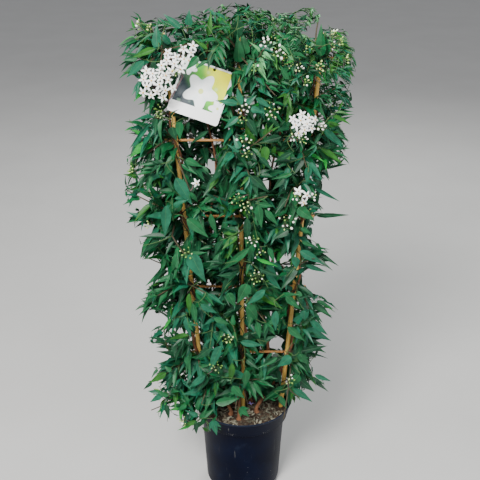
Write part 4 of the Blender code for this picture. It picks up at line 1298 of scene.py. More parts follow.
def tube(points, radii, sides, bump=None):
    """A closed tube along the points, its rings carried along without twist."""
    along = [(b - a).normalized() for a, b in zip(points, points[1:])]
    heading = [along[0]] + [(a + b).normalized() for a, b in zip(along, along[1:])] + [along[-1]]
    side = heading[0].orthogonal().normalized()
    ring_points = []
    for i, (point, radius) in enumerate(zip(points, radii)):
        if i:
            side = heading[i - 1].rotation_difference(heading[i]) @ side
        other = heading[i].cross(side)
        for k in range(sides):
            angle = TURN * k / sides
            out = math.cos(angle) * side + math.sin(angle) * other
            grown = radius * (1 + bump(point, out)) if bump else radius
            ring_points.append(point + grown * out)
    last = (len(points) - 1) * sides
    ends = [tuple(reversed(range(sides))), tuple(range(last, last + sides))]
    return ring_points, across_rows(len(points), sides) + ends


def even_tube(points, radius, sides, bump=None):
    return tube(points, [radius] * len(points), sides, bump)


def shape_tree(shapes):
    """One search tree of several (points, faces) shapes."""
    points, faces = [], []
    for shape_points, shape_faces in shapes:
        start = len(points)
        points.extend(shape_points)
        faces.extend(tuple(start + i for i in f) for f in shape_faces)
    return BVHTree.FromPolygons(points, faces)


def touches(shape, tree):
    return bool(BVHTree.FromPolygons(*shape).overlap(tree))


GUARD_SIDES, LATERAL_GUARD_SIDES, SHOOT_GUARD_SIDES, POT_GUARD_SIDES = 8, 6, 3, 36


def label_slab(margin):
    half = [size / 2 + margin for size in (LABEL_WIDE, LABEL_TALL, LABEL_THICK)]
    signs = itertools.product((-1, 1), repeat=3)
    corners = [label_point(*(sign * h for sign, h in zip(corner, half))) for corner in signs]
    return corners, [(0, 1, 3, 2), (4, 6, 7, 5), (0, 4, 5, 1), (2, 3, 7, 6), (0, 2, 6, 4), (1, 5, 7, 3)]


def limb_trees():
    """Search trees of everything that foliage keeps clear of: all of it, and all but each stem."""
    stems = {
        name: tube(points, [r * LIMB_GUARD + LIMB_CLEARANCE for r in radii], GUARD_SIDES)
        for name, (points, radii) in COURSES.items()
    }
    loop = loop_points()
    fixed = [label_slab(LABEL_GUARD), even_tube(loop + loop[:1], LOOP_R + LIMB_CLEARANCE, GUARD_SIDES)]
    for side in (-1, 0, 1):
        ends = [Vector((cane_x(side, z), 0, z)) for z in (CANE_FOOT_Z, CANE_TOP_Z)]
        thick = [(cane_radius(p.z) + CANE_NODE_SWELL) * LIMB_GUARD + LIMB_CLEARANCE for p in ends]
        fixed.append(tube(ends, thick, GUARD_SIDES))
        for number in range(1, BAR_COUNT + 1):
            tie = tie_points(side, number)
            fixed.append(even_tube(tie + tie[:1], TIE_R + LIMB_CLEARANCE, GUARD_SIDES))
    for number in range(1, BAR_COUNT + 1):
        fixed.append(even_tube(bar_ends(number), BAR_R + 2 * LIMB_CLEARANCE, GUARD_SIDES))
    above_soil, above_rim = (UP * (z + SOIL_CLEARANCE) for z in (SOIL_TOP, POT_HEIGHT))
    outside = [r + POT_CLEARANCE for r in (POT_SHOULDER_R, COLLAR_FOOT_R, COLLAR_TOP_R)]
    middles = [UP * POT_HEIGHT / 2, UP * (POT_HEIGHT - COLLAR_DEPTH), above_rim]
    inside = [r - BORE_CLEARANCE for r in (COLLAR_FOOT_R, COLLAR_TOP_R)]
    fixed.append(tube(middles, outside, POT_GUARD_SIDES))
    fixed.append(tube([above_soil, above_rim + UP * MASS_GAP], inside, POT_GUARD_SIDES))
    without = {}
    for name in stems:
        without[name] = shape_tree(fixed + [shape for other, shape in stems.items() if other != name])
    return shape_tree(fixed + list(stems.values())), without


LIMBS, LIMBS_WITHOUT = limb_trees()


# The growth rule.


def arc(start, heading, end, segments, arch):
    """A twig's points: it leaves between its parent's heading and its own, arches and bends to its tip."""
    length = (end - start).length
    leaves = (heading * PARENT_PULL + (end - start) / length * (1 - PARENT_PULL)).normalized()
    bend = start + leaves * length * ARC_BEND + UP * arch * length
    shares = [i / segments for i in range(segments + 1)]
    return [start.lerp(bend, t).lerp(bend.lerp(end, t), t) for t in shares]


def nearest_wood(twigs, target, heading_weight=HEADING_WEIGHT):
    """The point, heading and radius on the wood that suits a new tip best: near, and pointing its way."""
    best = None
    for points, radii, _ in twigs:
        for i in range(1, len(points)):
            reach = target - points[i]
            far = reach.length
            if best is not None and far > best[0]:
                continue
            heading = (points[i] - points[i - 1]).normalized()
            cost = far * (1 + heading_weight * (1 - heading.dot(reach.normalized())))
            if best is None or cost < best[0]:
                best = (cost, points[i], heading, radii[i])
    return best[1:]


def taper(count, thick, thin):
    return [between(thick, thin, i / (count - 1)) for i in range(count)]


def lateral_course(space, stem_name, foot_z, rng):
    """A mass's own stem: from the stem that feeds it, out and up into the space."""
    centre, along, feeding_r = stem_at(stem_name, foot_z)
    for _ in range(LATERAL_TRIES):
        away = space.sample(rng)
        aim = away.copy()
        away -= centre
        away -= along * away.dot(along)
        if away.length < LATERAL_SHORTEST:
            continue
        away.normalize()
        foot = centre + away * (feeding_r + GAP)
        knee = foot + away * LATERAL_KNEE
        rising = (away + UP * LATERAL_RISE).normalized()
        course = [foot] + arc(knee, rising, aim, COARSE_SEGMENTS, LATERAL_ARCH)
        inside = all(space.holds(p, LATERAL_R) for p in course[1:])
        guard = even_tube(course, LATERAL_R + LIMB_CLEARANCE, LATERAL_GUARD_SIDES)
        if inside and not touches(guard, LIMBS_WITHOUT[stem_name]):
            return [centre] + course[1:]
    raise ValueError(f"no room for the stem of a mass at {stem_name}, {foot_z}")


def sow(space, twigs, shoots, rng, wanted, tries, shortest, thick, thin, segments, aside=False):
    """Grows shoots to new tips until there are so many."""
    overlap = 0.0 if thick > FINE_R else FINE_OVERLAP
    for _ in range(tries):
        if len(shoots) >= wanted:
            return
        tips = [points[-1] for points, _, _ in twigs]
        drawn = [space.sample(rng, overlap, aside) for _ in range(TIP_CANDIDATES)]
        tip = max(drawn, key=lambda p: min((p - q).length for q in tips))
        start, heading, parent = nearest_wood(twigs, tip)
        if (tip - start).length < shortest:
            continue
        shoot = arc(start, heading, tip, segments, SHOOT_ARCH)
        radii = taper(len(shoot), min(parent, thick), thin)
        guard = tube(shoot, [r + LIMB_CLEARANCE for r in radii], SHOOT_GUARD_SIDES)
        leafy = all(in_box(p) and not in_sky(p) for p in shoot) and in_crown(tip, LEAF_PAST_REACH)
        leafy = leafy and not any(in_shade(p) for p in shoot[1:])
        if leafy and all(space.holds(p, thick, overlap) for p in shoot) and not touches(guard, LIMBS):
            twigs.append((shoot, radii, WOODY if thick > FINE_R else SOFT))
            shoots.append(shoot)


def grow_mass(space, stem_name, foot_z, rng):
    """The twigs of one mass, and those of them that bear leaves."""
    course = lateral_course(space, stem_name, foot_z, rng)
    denser = between(1.0, FINE_DENSER, fineness(course[-1])) * (1.0 if space.front else BACK_DENSER)
    twigs = [(course, taper(len(course), LATERAL_R, SHOOT_R), WOODY)]
    shoots = [course]
    coarse = (TIPS_PER_MASS + 1, SHOOT_TRIES, SHOOT_SHORTEST, SHOOT_R, TWIG_TIP_R, COARSE_SEGMENTS)
    wanted = TIPS_PER_MASS + 1 + round(FINE_TIPS * denser)
    fine = (wanted, round(FINE_TRIES * denser), FINE_SHORTEST, FINE_R, FINE_TIP_R, FINE_SEGMENTS)
    sow(space, twigs, shoots, rng, *coarse)
    sow(space, twigs, shoots, rng, *fine)
    if max(abs(space.left), abs(space.right)) > 1:
        sow(space, twigs, shoots, rng, len(shoots) + STRIP_TIPS, FINE_TRIES, *fine[2:], aside=True)
    return twigs, shoots


# Kinds of leaf, flower, bud and chip, each one unit long along X with its face to +Z.

LEAF_STATIONS = ((0.0, 0.18), (0.09, 0.66), (0.25, 1.0), (0.49, 0.82), (0.76, 0.37), (1.0, 0.0))
BROAD_STATIONS = ((0.0, 0.34), (0.08, 0.84), (0.24, 1.0), (0.48, 0.76), (0.76, 0.32), (1.0, 0.0))
RIB_HALF, RIB_TAPER = 0.015, 0.6
LEAF_FOLD = 0.075
LEAF_STALK_OVER, LEAF_STALK_R, LOBE_TURN = 1.05, 0.011, math.radians(36)


def blade_kind(stations, droop, sickle, fold=LEAF_FOLD, length=1.0, width=1.0, turned=0.0, wave=0.0):
    """A blade on its stalk: two halves that rise from a narrow rib, which droops and bends to one side."""

    def along(t):
        flat = Vector((PETIOLE + t * length, sickle * t * t * length))
        flat = Matrix.Rotation(turned, 2) @ (flat - Vector((PETIOLE, 0))) + Vector((PETIOLE, 0))
        return Vector((flat.x, flat.y, -droop * t * t * length))

    points = []
    side_way = Matrix.Rotation(turned, 3, "Z") @ Vector((0, 1, 0))
    for i, (t, share) in enumerate(stations[:-1]):
        half = share * width / 2
        rib = RIB_HALF * (1 - RIB_TAPER * t)
        lift = fold * share * (1 + (wave if i % 2 else -wave))
        for offset, rise in ((half, lift), (rib, 0.0), (-rib, 0.0), (-half, lift)):
            points.append(along(t) + side_way * offset + UP * rise)
    points.append(along(1.0))
    rows, tip = len(stations) - 1, len(points) - 1
    faces = flipped(across_rows(rows, 4, closed=False))
    faces += [(k, tip, k + 1) for k in range(tip - 4, tip - 1)]
    return points, faces, [-1, RIB, -1] * rows


def joined(*shapes):
    points, faces, own = [], [], []
    for shape_points, shape_faces, shape_own in shapes:
        first = len(points)
        points.extend(shape_points)
        faces.extend(tuple(first + i for i in face) for face in shape_faces)
        own.extend(shape_own)
    return points, faces, own


def stalk_kind(start, end, radius, finish, sides=3):
    points, faces = even_tube([start, end], radius, sides)
    return points, faces[:-2], [finish] * (len(faces) - 2)


def leaf_kinds():
    stalk = stalk_kind(Vector(), Vector((PETIOLE * LEAF_STALK_OVER, 0, 0)), LEAF_STALK_R, RIB)
    lobe = {"droop": 0.10, "length": 0.68, "width": 0.34, "fold": 0.03}
    lobes = joined(
        blade_kind(LEAF_STATIONS, 0.12, 0.0, width=0.44),
        blade_kind(LEAF_STATIONS, sickle=0.05, turned=LOBE_TURN, **lobe),
        blade_kind(LEAF_STATIONS, sickle=-0.05, turned=-LOBE_TURN, **lobe),
    )
    blades = [
        blade_kind(LEAF_STATIONS, 0.10, 0.0),
        blade_kind(LEAF_STATIONS, 0.20, 0.11),
        blade_kind(LEAF_STATIONS, 0.16, -0.12),
        blade_kind(BROAD_STATIONS, 0.14, 0.03),
        blade_kind(LEAF_STATIONS, 0.36, 0.05, fold=0.11),
        blade_kind(BROAD_STATIONS, 0.24, -0.07, wave=0.5),
        lobes,
    ]
    return [joined(stalk, blade) for blade in blades]


LANCE_KINDS, BROAD_KINDS, LOBED = (0, 1, 2, 4), (3, 5), 6


PETAL_ROWS = ((0.08, 0.070), (0.32, 0.185), (0.60, 0.200), (0.84, 0.110))
PETAL_BEND, PETAL_TIP_BEND, PETAL_FOLD = 0.30, 0.34, 0.035
PETALS, PETAL_UNEVEN = 5, 0.05
STAMEN_RING, STAMEN_SIDES = 0.065, 4
# Cones by their near and far end and the radius at each.
STAMEN_SIZES, CALYX_SIZES = (0.0, 0.42, 0.070, 0.035), (-0.16, 0.035, 0.04, 0.125)


def petal_kind(angle, cup):
    """One pointed petal of a star, folded along its middle, with its tip bent back."""
    turn = Matrix.Rotation(angle, 3, "X")
    points = []
    for share, half in PETAL_ROWS:
        rise = cup * share - PETAL_BEND * share * share
        for offset, lift in ((-half, PETAL_FOLD), (0.0, 0.0), (half, PETAL_FOLD)):
            points.append(turn @ Vector((rise + lift, offset, share)))
    points.append(turn @ Vector((cup - PETAL_TIP_BEND, 0, 1.0)))
    tip = len(points) - 1
    faces = across_rows(len(PETAL_ROWS), 3, closed=False)
    faces += [(tip - 3, tip - 2, tip), (tip - 2, tip - 1, tip)]
    return points, faces, [PETAL] * len(faces)


# Turns what stands round Z so that it lies round X.
TURN_TO_X = Matrix(((0, 0, 1), (1, 0, 0), (0, 1, 0)))


def cone_kind(low, high, low_r, high_r, finish, sides=6, around=Vector()):
    """A ring of faces along X between two radii, closed at the far end."""
    rims = ring(low_r, sides, low) + ring(high_r, sides, high)
    faces = across_rows(2, sides) + [tuple(range(sides, 2 * sides))]
    return [TURN_TO_X @ p + around for p in rims], faces, [finish] * len(faces)


def flower_kind(cup, twist):
    """A star of petals that faces along X, its stamens in a cone and its calyx behind."""
    shapes = [cone_kind(*CALYX_SIZES, CALYX)]
    for k in range(PETALS):
        angle = TURN * (k + 0.5) / PETALS
        beside = Vector((0, math.cos(angle), math.sin(angle))) * STAMEN_RING
        shapes.append(petal_kind(TURN * k / PETALS + twist, cup + PETAL_UNEVEN * (k % 2)))
        shapes.append(cone_kind(*STAMEN_SIZES, STAMEN, STAMEN_SIDES, beside))
    return joined(*shapes)


BUD_ROWS, BUD_SIDES = ((0.10, 0.20), (0.30, 0.34), (0.58, 0.38), (0.84, 0.24)), 6
BUD_CALYX, BUD_CALYX_R, BUD_CALYX_SIDES = (-0.10, 0.22, 0.07), 0.30, 5


def bud_kind(slim, finish_of_calyx):
    """A closed bud along X, blunt or slim, in a small calyx."""
    points = [Vector()]
    for x, radius in BUD_ROWS:
        points += [TURN_TO_X @ p for p in ring(radius * slim, BUD_SIDES, x)]
    points.append(Vector((1.0, 0, 0)))
    faces = between_poles(len(BUD_ROWS), BUD_SIDES)
    body = (points, faces, [-1] * len(faces))
    return joined(body, cone_kind(*BUD_CALYX, BUD_CALYX_R * slim, finish_of_calyx, BUD_CALYX_SIDES))


CHIP_RAGGED = 0.07


def chip_kind(seed):
    """A splinter of wood: a flat bar with ragged ends."""
    rng = random.Random(seed)
    points = []
    for x, half in ((-0.5, 0.275), (-0.12, 0.5), (0.2, 0.5), (0.5, 0.275)):
        for y, z in ((-1, -1), (1, -1), (1, 1), (-1, 1)):
            jitter = Vector([rng.uniform(-CHIP_RAGGED, CHIP_RAGGED) for _ in range(3)])
            points.append(Vector((x, y * half, z * half)) + jitter)
    faces = [(3, 2, 1, 0), (12, 13, 14, 15)] + across_rows(4, 4)
    return points, faces, [-1] * len(faces)


# Setting leaves, flowers and buds on the wood.

# Large leaves in the photograph: the pixels of the blade's root and tip, its width, tint and depth. The deep
# tint of those in and beside the dark hollow below the label is painted shade.
SeenLeaf = namedtuple("SeenLeaf", "root_pixel tip_pixel width tint y")
SEEN_LEAVES = (
    ((176, 178), (192, 208), 0.027, BLUE, -0.118),
    ((166, 206), (165, 239), 0.0235, BLUE, -0.112),
    ((187, 219), (210, 237), 0.0235, GREEN, -0.118),
    ((211, 214), (215, 238), 0.015, GREEN, -0.118),
    ((172, 127), (176, 142), 0.021, DEEP_AND_PAINTED_SHADE, -0.070),
    ((208, 131), (188, 145), 0.0105, DEEP_AND_PAINTED_SHADE, -0.062),
    ((186, 160), (203, 168), 0.017, GREEN, -0.085),
    ((150, 123), (128, 151), 0.0105, BLUE, -0.045),
    ((191, 254), (205, 284), 0.0345, BLUE, -0.120),
    ((249, 248), (217, 275), 0.017, GREEN, -0.124),
    ((247, 284), (237, 306), 0.0285, GREEN, -0.124),
    ((228, 293), (236, 310), 0.02, GREEN, -0.118),
    ((265, 290), (246, 307), 0.0175, BLUE, -0.124),
    ((247, 306), (261, 324), 0.0265, GREEN, -0.122),
    ((276, 311), (274, 333), 0.018, BLUE, -0.122),
    ((257, 322), (260, 339), 0.0155, GREEN, -0.120),
    ((241, 342), (265, 347), 0.016, BLUE, -0.124),
    ((286, 296), (301, 309), 0.018, GREEN, -0.112),
    ((288, 327), (305, 341), 0.018, GREEN, -0.110),
    ((310, 321), (330, 337), 0.0165, BLUE, -0.070),
    ((300, 251), (325, 265), 0.02, BLUE, -0.072),
    ((306, 265), (328, 274), 0.0115, BLUE, -0.050),
    ((296, 257), (296, 271), 0.0195, BLUE, -0.100),
    ((291, 357), (276, 369), 0.023, BLUE, -0.112),
    ((300, 354), (308, 368), 0.021, GREEN, -0.100),
    ((301, 351), (328, 347), 0.0145, DEEP_AND_PAINTED_SHADE, -0.060),
    ((315, 375), (332, 381), 0.012, BLUE, -0.050),
    ((299, 375), (289, 390), 0.0215, GREEN, -0.104),
    ((300, 380), (315, 392), 0.017, DEEP_AND_PAINTED_SHADE, -0.080),
    ((293, 389), (314, 401), 0.017, BLUE, -0.085),
    ((324, 130), (344, 148), 0.017, BLUE, -0.070),
    ((321, 149), (345, 163), 0.013, OLIVE, -0.060),
    ((315, 188), (341, 203), 0.009, BLUE, -0.045),
    ((317, 216), (350, 214), 0.011, DEEP_AND_PAINTED_SHADE, -0.040),
    ((298, 208), (315, 222), 0.0235, GREEN, -0.105),
    ((258, 205), (262, 229), 0.019, GREEN, -0.124),
    ((265, 210), (279, 227), 0.0145, GREEN, -0.124),
    ((251, 176), (271, 194), 0.019, DEEP_AND_PAINTED_SHADE, -0.112),
    ((247, 218), (247, 245), 0.017, DEEP_AND_PAINTED_SHADE, -0.122),
    ((288, 230), (272, 239), 0.0195, DEEP_AND_PAINTED_SHADE, -0.110),
    ((281, 137), (257, 144), 0.0165, DEEP_AND_PAINTED_SHADE, -0.090),
    ((247, 119), (259, 136), 0.0165, DEEP_AND_PAINTED_SHADE, -0.110),
    ((237, 104), (216, 99), 0.014, BLUE, -0.132),
    ((241, 105), (237, 88), 0.014, BLUE, -0.130),
    ((238, 117), (223, 128), 0.014, BLUE, -0.132),
    ((247, 103), (256, 95), 0.012, BLUE, -0.130),
    ((251, 109), (265, 112), 0.014, BLUE, -0.132),
    ((256, 98), (274, 109), 0.012, BLUE, -0.126),
    ((240, 148), (232, 137), 0.0145, BLUE, -0.130),
    ((239, 152), (227, 145), 0.01, BLUE, -0.128),
    ((288, 79), (280, 65), 0.012, GREEN, -0.115),
    ((201, 304), (218, 317), 0.0155, BLUE, -0.120),
    ((214, 318), (230, 325), 0.0135, GREEN, -0.120),
    ((193, 304), (196, 326), 0.0155, GREEN, -0.118),
    ((221, 346), (206, 373), 0.0205, BLUE, -0.120),
    ((232, 363), (231, 388), 0.016, OLIVE, -0.116),
    ((246, 370), (246, 391), 0.021, GREEN, -0.116),
    ((233, 386), (245, 400), 0.0215, GREEN, -0.112),
    ((216, 403), (240, 400), 0.0215, GREEN, -0.108),
    ((205, 376), (187, 390), 0.0165, BLUE, -0.112),
    ((166, 373), (148, 385), 0.017, OLIVE, -0.070),
    ((166, 404), (170, 420), 0.0125, DEEP_AND_PAINTED_SHADE, -0.080),
    ((198, 416), (185, 410), 0.012, BLUE, -0.112),
    ((197, 421), (181, 428), 0.012, OLIVE, -0.116),
    ((200, 419), (207, 408), 0.012, GREEN, -0.116),
    ((203, 417), (214, 411), 0.012, GREEN, -0.118),
    ((192, 424), (176, 434), 0.0075, PAINTED_BACKLIGHT, -0.110),
    ((163, 394), (149, 404), 0.0145, BLUE, -0.078),
    ((160, 392), (147, 393), 0.012, BLUE, -0.070),
    ((168, 396), (154, 389), 0.012, GREEN, -0.082),
    ((171, 371), (163, 367), 0.012, GREEN, -0.080),
    ((209, 349), (194, 361), 0.0185, DEEP_AND_PAINTED_SHADE, -0.112),
    ((301, 228), (312, 235), 0.011, GREEN, -0.078),
    ((302, 242), (316, 248), 0.009, GREEN, -0.070),
    ((304, 311), (305, 325), 0.0205, BLUE, -0.106),
    ((260, 269), (281, 278), 0.011, DEEP_AND_PAINTED_SHADE, -0.118),
    ((257, 259), (279, 266), 0.0085, PAINTED_BACKLIGHT, -0.112),
    ((268, 248), (276, 263), 0.013, GREEN, -0.118),
    ((292, 174), (270, 181), 0.0105, GREEN, -0.114),
    ((284, 178), (272, 191), 0.0125, DEEP_AND_PAINTED_SHADE, -0.114),
    ((259, 157), (274, 172), 0.0125, DEEP_AND_PAINTED_SHADE, -0.122),
    ((291, 153), (273, 164), 0.0125, DEEP_AND_PAINTED_SHADE, -0.116),
    ((258, 204), (275, 208), 0.0125, GREEN, -0.122),
    ((308, 167), (307, 186), 0.017, BLUE, -0.104),
    ((169, 165), (166, 179), 0.017, GREEN, -0.096),
    ((168, 52), (163, 31), 0.019, DEEP_AND_PAINTED_SHADE, -0.030),
    ((170, 44), (158, 30), 0.0145, BLUE, -0.034),
    ((246, 54), (241, 31), 0.021, GREEN, -0.030),
    ((238, 21), (238, 48), 0.024, DEEP_AND_PAINTED_SHADE, -0.034),
    ((239, 62), (238, 35), 0.025, GREEN, -0.040),
    ((327, 54), (323, 32), 0.021, GREEN, -0.028),
    ((319, 52), (325, 31), 0.017, OLIVE, -0.022),
    ((321, 56), (321, 25), 0.023, GREEN, -0.044),
    ((198, 57), (185, 71), 0.016, GREEN, -0.114),
    ((180, 122), (179, 141), 0.019, GREEN, -0.075),
    ((189, 122), (187, 136), 0.0085, DEEP_AND_PAINTED_SHADE, -0.060),
    ((196, 421), (196, 438), 0.012, DEEP_AND_PAINTED_SHADE, -0.118),
    ((279, 396), (288, 412), 0.0145, GREEN, -0.100),
    ((157, 47), (156, 24), 0.0205, BLUE, -0.080),
    ((180, 28), (163, 14), 0.0145, BLUE, -0.060),
    ((189, 25), (188, 10), 0.0165, BLUE, -0.050),
    ((208, 36), (211, 11), 0.0125, OLIVE, -0.060),
    ((155, 49), (130, 57), 0.014, OLIVE, -0.100),
    ((144, 61), (125, 79), 0.0165, BLUE, -0.090),
    ((137, 58), (122, 60), 0.0125, GREEN, -0.060),
)
SEEN_LOBED = (
    ((213, 421), (217, 436), 0.036, BLUE, -0.128),
    ((240, 408), (250, 418), 0.034, GREEN, -0.098),
)

# Heads of buds in the photograph: the pixel of the middle, the radius, the number, and how white they are.
SeenHead = namedtuple("SeenHead", "pixel radius count whiteness")
SEEN_BUDS = (
    ((266, 43), 0.01, 7, 0.8),
    ((278, 52), 0.012, 9, 0.7),
    ((256, 68), 0.008, 6, 0.1),
    ((299, 68), 0.008, 7, 0.3),
    ((319, 66), 0.01, 9, 0.0),
    ((306, 82), 0.008, 7, 0.3),
    ((244, 106), 0.014, 11, 0.8),
    ((272, 111), 0.016, 12, 0.2),
    ((242, 120), 0.008, 6, 0.3),
    ((244, 142), 0.0145, 10, 0.5),
    ((247, 153), 0.0105, 7, 0.4),
    ((237, 200), 0.0145, 10, 0.1),
    ((246, 207), 0.0125, 8, 0.1),
    ((287, 221), 0.017, 11, 0.6),
    ((252, 240), 0.013, 10, 0.7),
    ((261, 252), 0.0085, 6, 0.1),
    ((187, 253), 0.013, 9, 0.2),
    ((257, 277), 0.0155, 12, 0.1),
    ((227, 338), 0.0135, 10, 0.0),
    ((216, 367), 0.014, 10, 0.0),
    ((158, 394), 0.0145, 9, 0.0),
    ((183, 421), 0.012, 9, 0.3),
    ((160, 112), 0.014, 12, 0.1),
    ((139, 25), 0.01, 8, 0.2),
    ((176, 73), 0.006, 5, 0.4),
    ((303, 139), 0.01, 9, 0.4),
    ((321, 126), 0.008, 6, 0.9),
    ((294, 137), 0.008, 6, 0.8),
    ((314, 197), 0.0065, 4, 0.9),
    ((296, 196), 0.0085, 6, 0.4),
    ((132, 170), 0.0085, 7, 0.0),
    ((149, 225), 0.0085, 6, 0.0),
    ((290, 380), 0.0115, 8, 0.1),
    ((340, 42), 0.008, 7, 0.1),
    ((347, 60), 0.008, 7, 0.0),
)
BUD_DEPTH = -0.122
SIDE_BUDS_FROM, SIDE_BUD_DEPTH = 0.16, -0.06
SEEN_MARGIN, HEAD_DEEP = 0.002, 0.004
BUD_LONG, BUD_SIZES, WHITE_BUD, GREEN_BUD = 0.0058, (0.85, 1.2), 1.15, 0.9
BUD_STEM_BACK, BUD_STEM_DOWN, BUD_STEM_R, BUD_STALK_R = 1.1, 0.4, 0.0008, 0.00042
BUD_OUT = (-0.3, 0.4)
# The heads of buds at the tips of other shoots.
TIP_BUDS, MORE_WHERE_FINE = 0.05, 0.12
TIP_HEAD_OUT, TIP_HEAD_DOWN, TIP_HEAD_R, TIP_HEAD_ROOM = 0.002, 0.004, (0.006, 0.011), 1.8
TIP_HEAD_COUNT, TIP_HEAD_WHITENESS = (5, 9), 0.08


def facing_turn(axis, face):
    """The turn that lays X along the axis and Z towards the face."""
    side = face.cross(axis).normalized()
    return Matrix((axis, side, axis.cross(side))).transposed().to_quaternion()


class Foliage:
    """Everything that grows in one crown, gathered by column before it becomes pieces."""

    def __init__(self):
        self.twigs = {column: [] for column in COLUMNS}
        self.leaves = {column: [] for column in COLUMNS}
        self.flowers = []
        self.buds = []
        self.stalks = []
        self.taken = {}
        self.kept_clear = []

    def column_at(self, point):
        across = point.x / fan_half(point.z)
        if point.y > BACK_PLANE_Y:
            return "back_left" if across < 0 else "back_right"
        if abs(across) < 0.5:
            return "front_middle"
        return "front_left" if across < 0 else "front_right"

    def cell(self, point):
        return tuple(math.floor(c / LEAF_APART) for c in point)

    def is_crowded(self, middle, apart):
        near = itertools.product(*((c - 1, c, c + 1) for c in self.cell(middle)))
        return any((other - middle).length < apart for cell in near for other in self.taken.get(cell, ()))

    def keep_clear(self, start, end, half, y):
        """Keeps leaves off a stretch between two pixels, so far to each side and as deep as y."""
        half_pixels = half * FOCAL_PIXELS / (from_photo(*start, y) - EYE).length
        self.kept_clear.append((*start, *end, half_pixels, y))

    def covers_seen(self, points):
        """Whether one of the points hides something that shows in the photograph."""
        for point in points:
            px, py = to_photo(point)
            for ax, ay, bx, by, half, y in self.kept_clear:
                if point.y > y + SEEN_MARGIN:
                    continue
                dx, dy = bx - ax, by - ay
                t = min(1.0, max(0.0, ((px - ax) * dx + (py - ay) * dy) / (dx * dx + dy * dy + 1e-9)))
                if math.hypot(px - ax - dx * t, py - ay - dy * t) < half:
                    return True
        return False

    def add_leaf(self, column, root, axis, face, length, width, kind, tint):
        size = (length, width, length)
        self.leaves[column].append((root, facing_turn(axis, face), size, kind, tint))
        middle = root + axis * length * LEAF_MIDDLE
        self.taken.setdefault(self.cell(middle), []).append(middle)

    def take_back(self, leaves):
        """Takes back the leaves that were added last, each (column, middle), newest first."""
        for column, middle in reversed(leaves):
            self.leaves[column].pop()
            self.taken[self.cell(middle)].remove(middle)


def frontwards(point):
    return -1.0 if point.y < BACK_PLANE_Y else 1.0


def outward_from(point):
    """The way out of the crown: to the front or back in its middle, and more sideways towards its edges."""
    across = point.x / sideways_reach(point)
    up = OUT_UPWARDS * share_of(point.z, *UPWARDS_BETWEEN)
    return Vector((OUT_SIDEWAYS * across**3, frontwards(point), up)).normalized()


def leaf_axis(heading, turn, point, at_tip, rng):
    """The way a leaf points and the way it faces.

    Along a shoot it points aside, out of the crown and down a little. At the tip the leaves make a rosette.
    """
    out = outward_from(point)
    roll = Vector((rng.uniform(-1, 1), 0, rng.uniform(-1, 1))) * LEAF_FACE_ROLL
    if at_tip:
        aim = (heading + out * TIP_OUT + UP * TIP_LIFT).normalized()
        side = Quaternion(aim, turn) @ aim.orthogonal().normalized()
        axis = side + aim * rng.uniform(*TIP_FORWARD) - UP * rng.uniform(*TIP_HANG)
        face = aim + UP * TIP_FACE_UP + roll
    else:
        side = Quaternion(heading, turn) @ heading.orthogonal().normalized()
        spread = LEAF_OUT + EDGE_SPREAD * edge_share(point)
        hang = rng.uniform(*LEAF_HANG) * (1 - share_of(point.z, *UPWARDS_BETWEEN))
        axis = LEAF_ALONG * heading + LEAF_ASIDE * side + spread * out - UP * hang
        axis += Vector([rng.uniform(-LEAF_WANDER, LEAF_WANDER) for _ in range(3)])
        front = Vector((0, frontwards(point), 0))
        face = UP * LEAF_FACE_UP + out.lerp(front, edge_share(point)) * LEAF_FACE_OUT + roll
    axis.normalize()
    return axis, (face - axis * face.dot(axis)).normalized()


FINE_BETWEEN_Z, FINE_BETWEEN_X = (0.92, 1.06), (-0.06, 0.07)
RIDGE_BETWEEN_Z, RIDGE_FINENESS = (1.10, 1.16), 0.6
EDGE_BETWEEN = (0.55, 0.95)
RIM_BETWEEN_Z, RIM_BETWEEN_X = (1.12, 1.160), (0.0, 0.05)
# How much less painted light through the leaves is dealt out at the right edge than at the left.
PAINTED_BACKLIGHT_ON_RIGHT = 0.4
# How often each tint is dealt out: anywhere, and how much more where leaves are fine, at the side edges,
# behind, and along the rim on the right. At the side edges and behind it is the bright tint, painted light
# shining through the leaves; along the rim on the right it is the young tint, a painted sheen.
TINT_WEIGHTS = (
    (0.30, -0.15, 0.0, 0.0, 0.0),
    (0.42, 0.0, 0.0, 0.0, 0.0),
    (0.22, 0.0, 0.0, -0.132, 0.0),
    (0.05, 0.12, 0.0, 0.0, 0.0),
    (0.006, 0.0, 0.12, 0.10, 0.0),
    (0.0, 0.03, 0.0, 0.0, 1.20),
)


def fineness(point):
    """How fine and young the leaves are: most so along the top to the right."""
    top = share_of(point.z, *FINE_BETWEEN_Z) * share_of(point.x, *FINE_BETWEEN_X)
    ridge = share_of(point.z, *RIDGE_BETWEEN_Z) * RIDGE_FINENESS
    return max(top, ridge)


def edge_share(point):
    """How near a point is to the crown's side edge, from 0 well inside it to 1 at the edge."""
    return share_of(abs(point.x) / sideways_reach(point), *EDGE_BETWEEN)


def spray_tint(point, rng):
    """One tint for a whole spray: bright at the left edge and behind, painted light shining through the
    leaves;
    young where the leaves are fine, and along the rim on the right as a painted sheen; and deepest in the
    dark hollow below the label, as painted shade.
    """
    # Painted shade: sprays in and round the dark hollow below the label take the deep tint.
    if in_spots(point, SEEN_SHADE, SHADE_WIDER):
        return DEEP_AND_PAINTED_SHADE
    # Painted sheen: the young tint is dealt out along the top rim on the right.
    rim = share_of(point.z, *RIM_BETWEEN_Z) * share_of(point.x, *RIM_BETWEEN_X)
    # Painted light through the leaves: the bright tint is dealt out at the side edges, less on the right, and
    # behind.
    edge = edge_share(point) * (1.0 if point.x < 0 else PAINTED_BACKLIGHT_ON_RIGHT)
    behind = 1.0 if point.y > BACK_PLANE_Y else 0.0
    here = (1.0, fineness(point), edge, behind, rim)
    weights = [sum(a * b for a, b in zip(row, here)) for row in TINT_WEIGHTS]
    return rng.choices(range(len(weights)), weights)[0]


# Shares of a leaf's length at which it is tested.
LEAF_MIDDLE, LEAF_WIDEST, LEAF_PROBES = 0.6, 0.42, (0.2, 0.4, 0.8)
LEAF_DROOP = 0.14


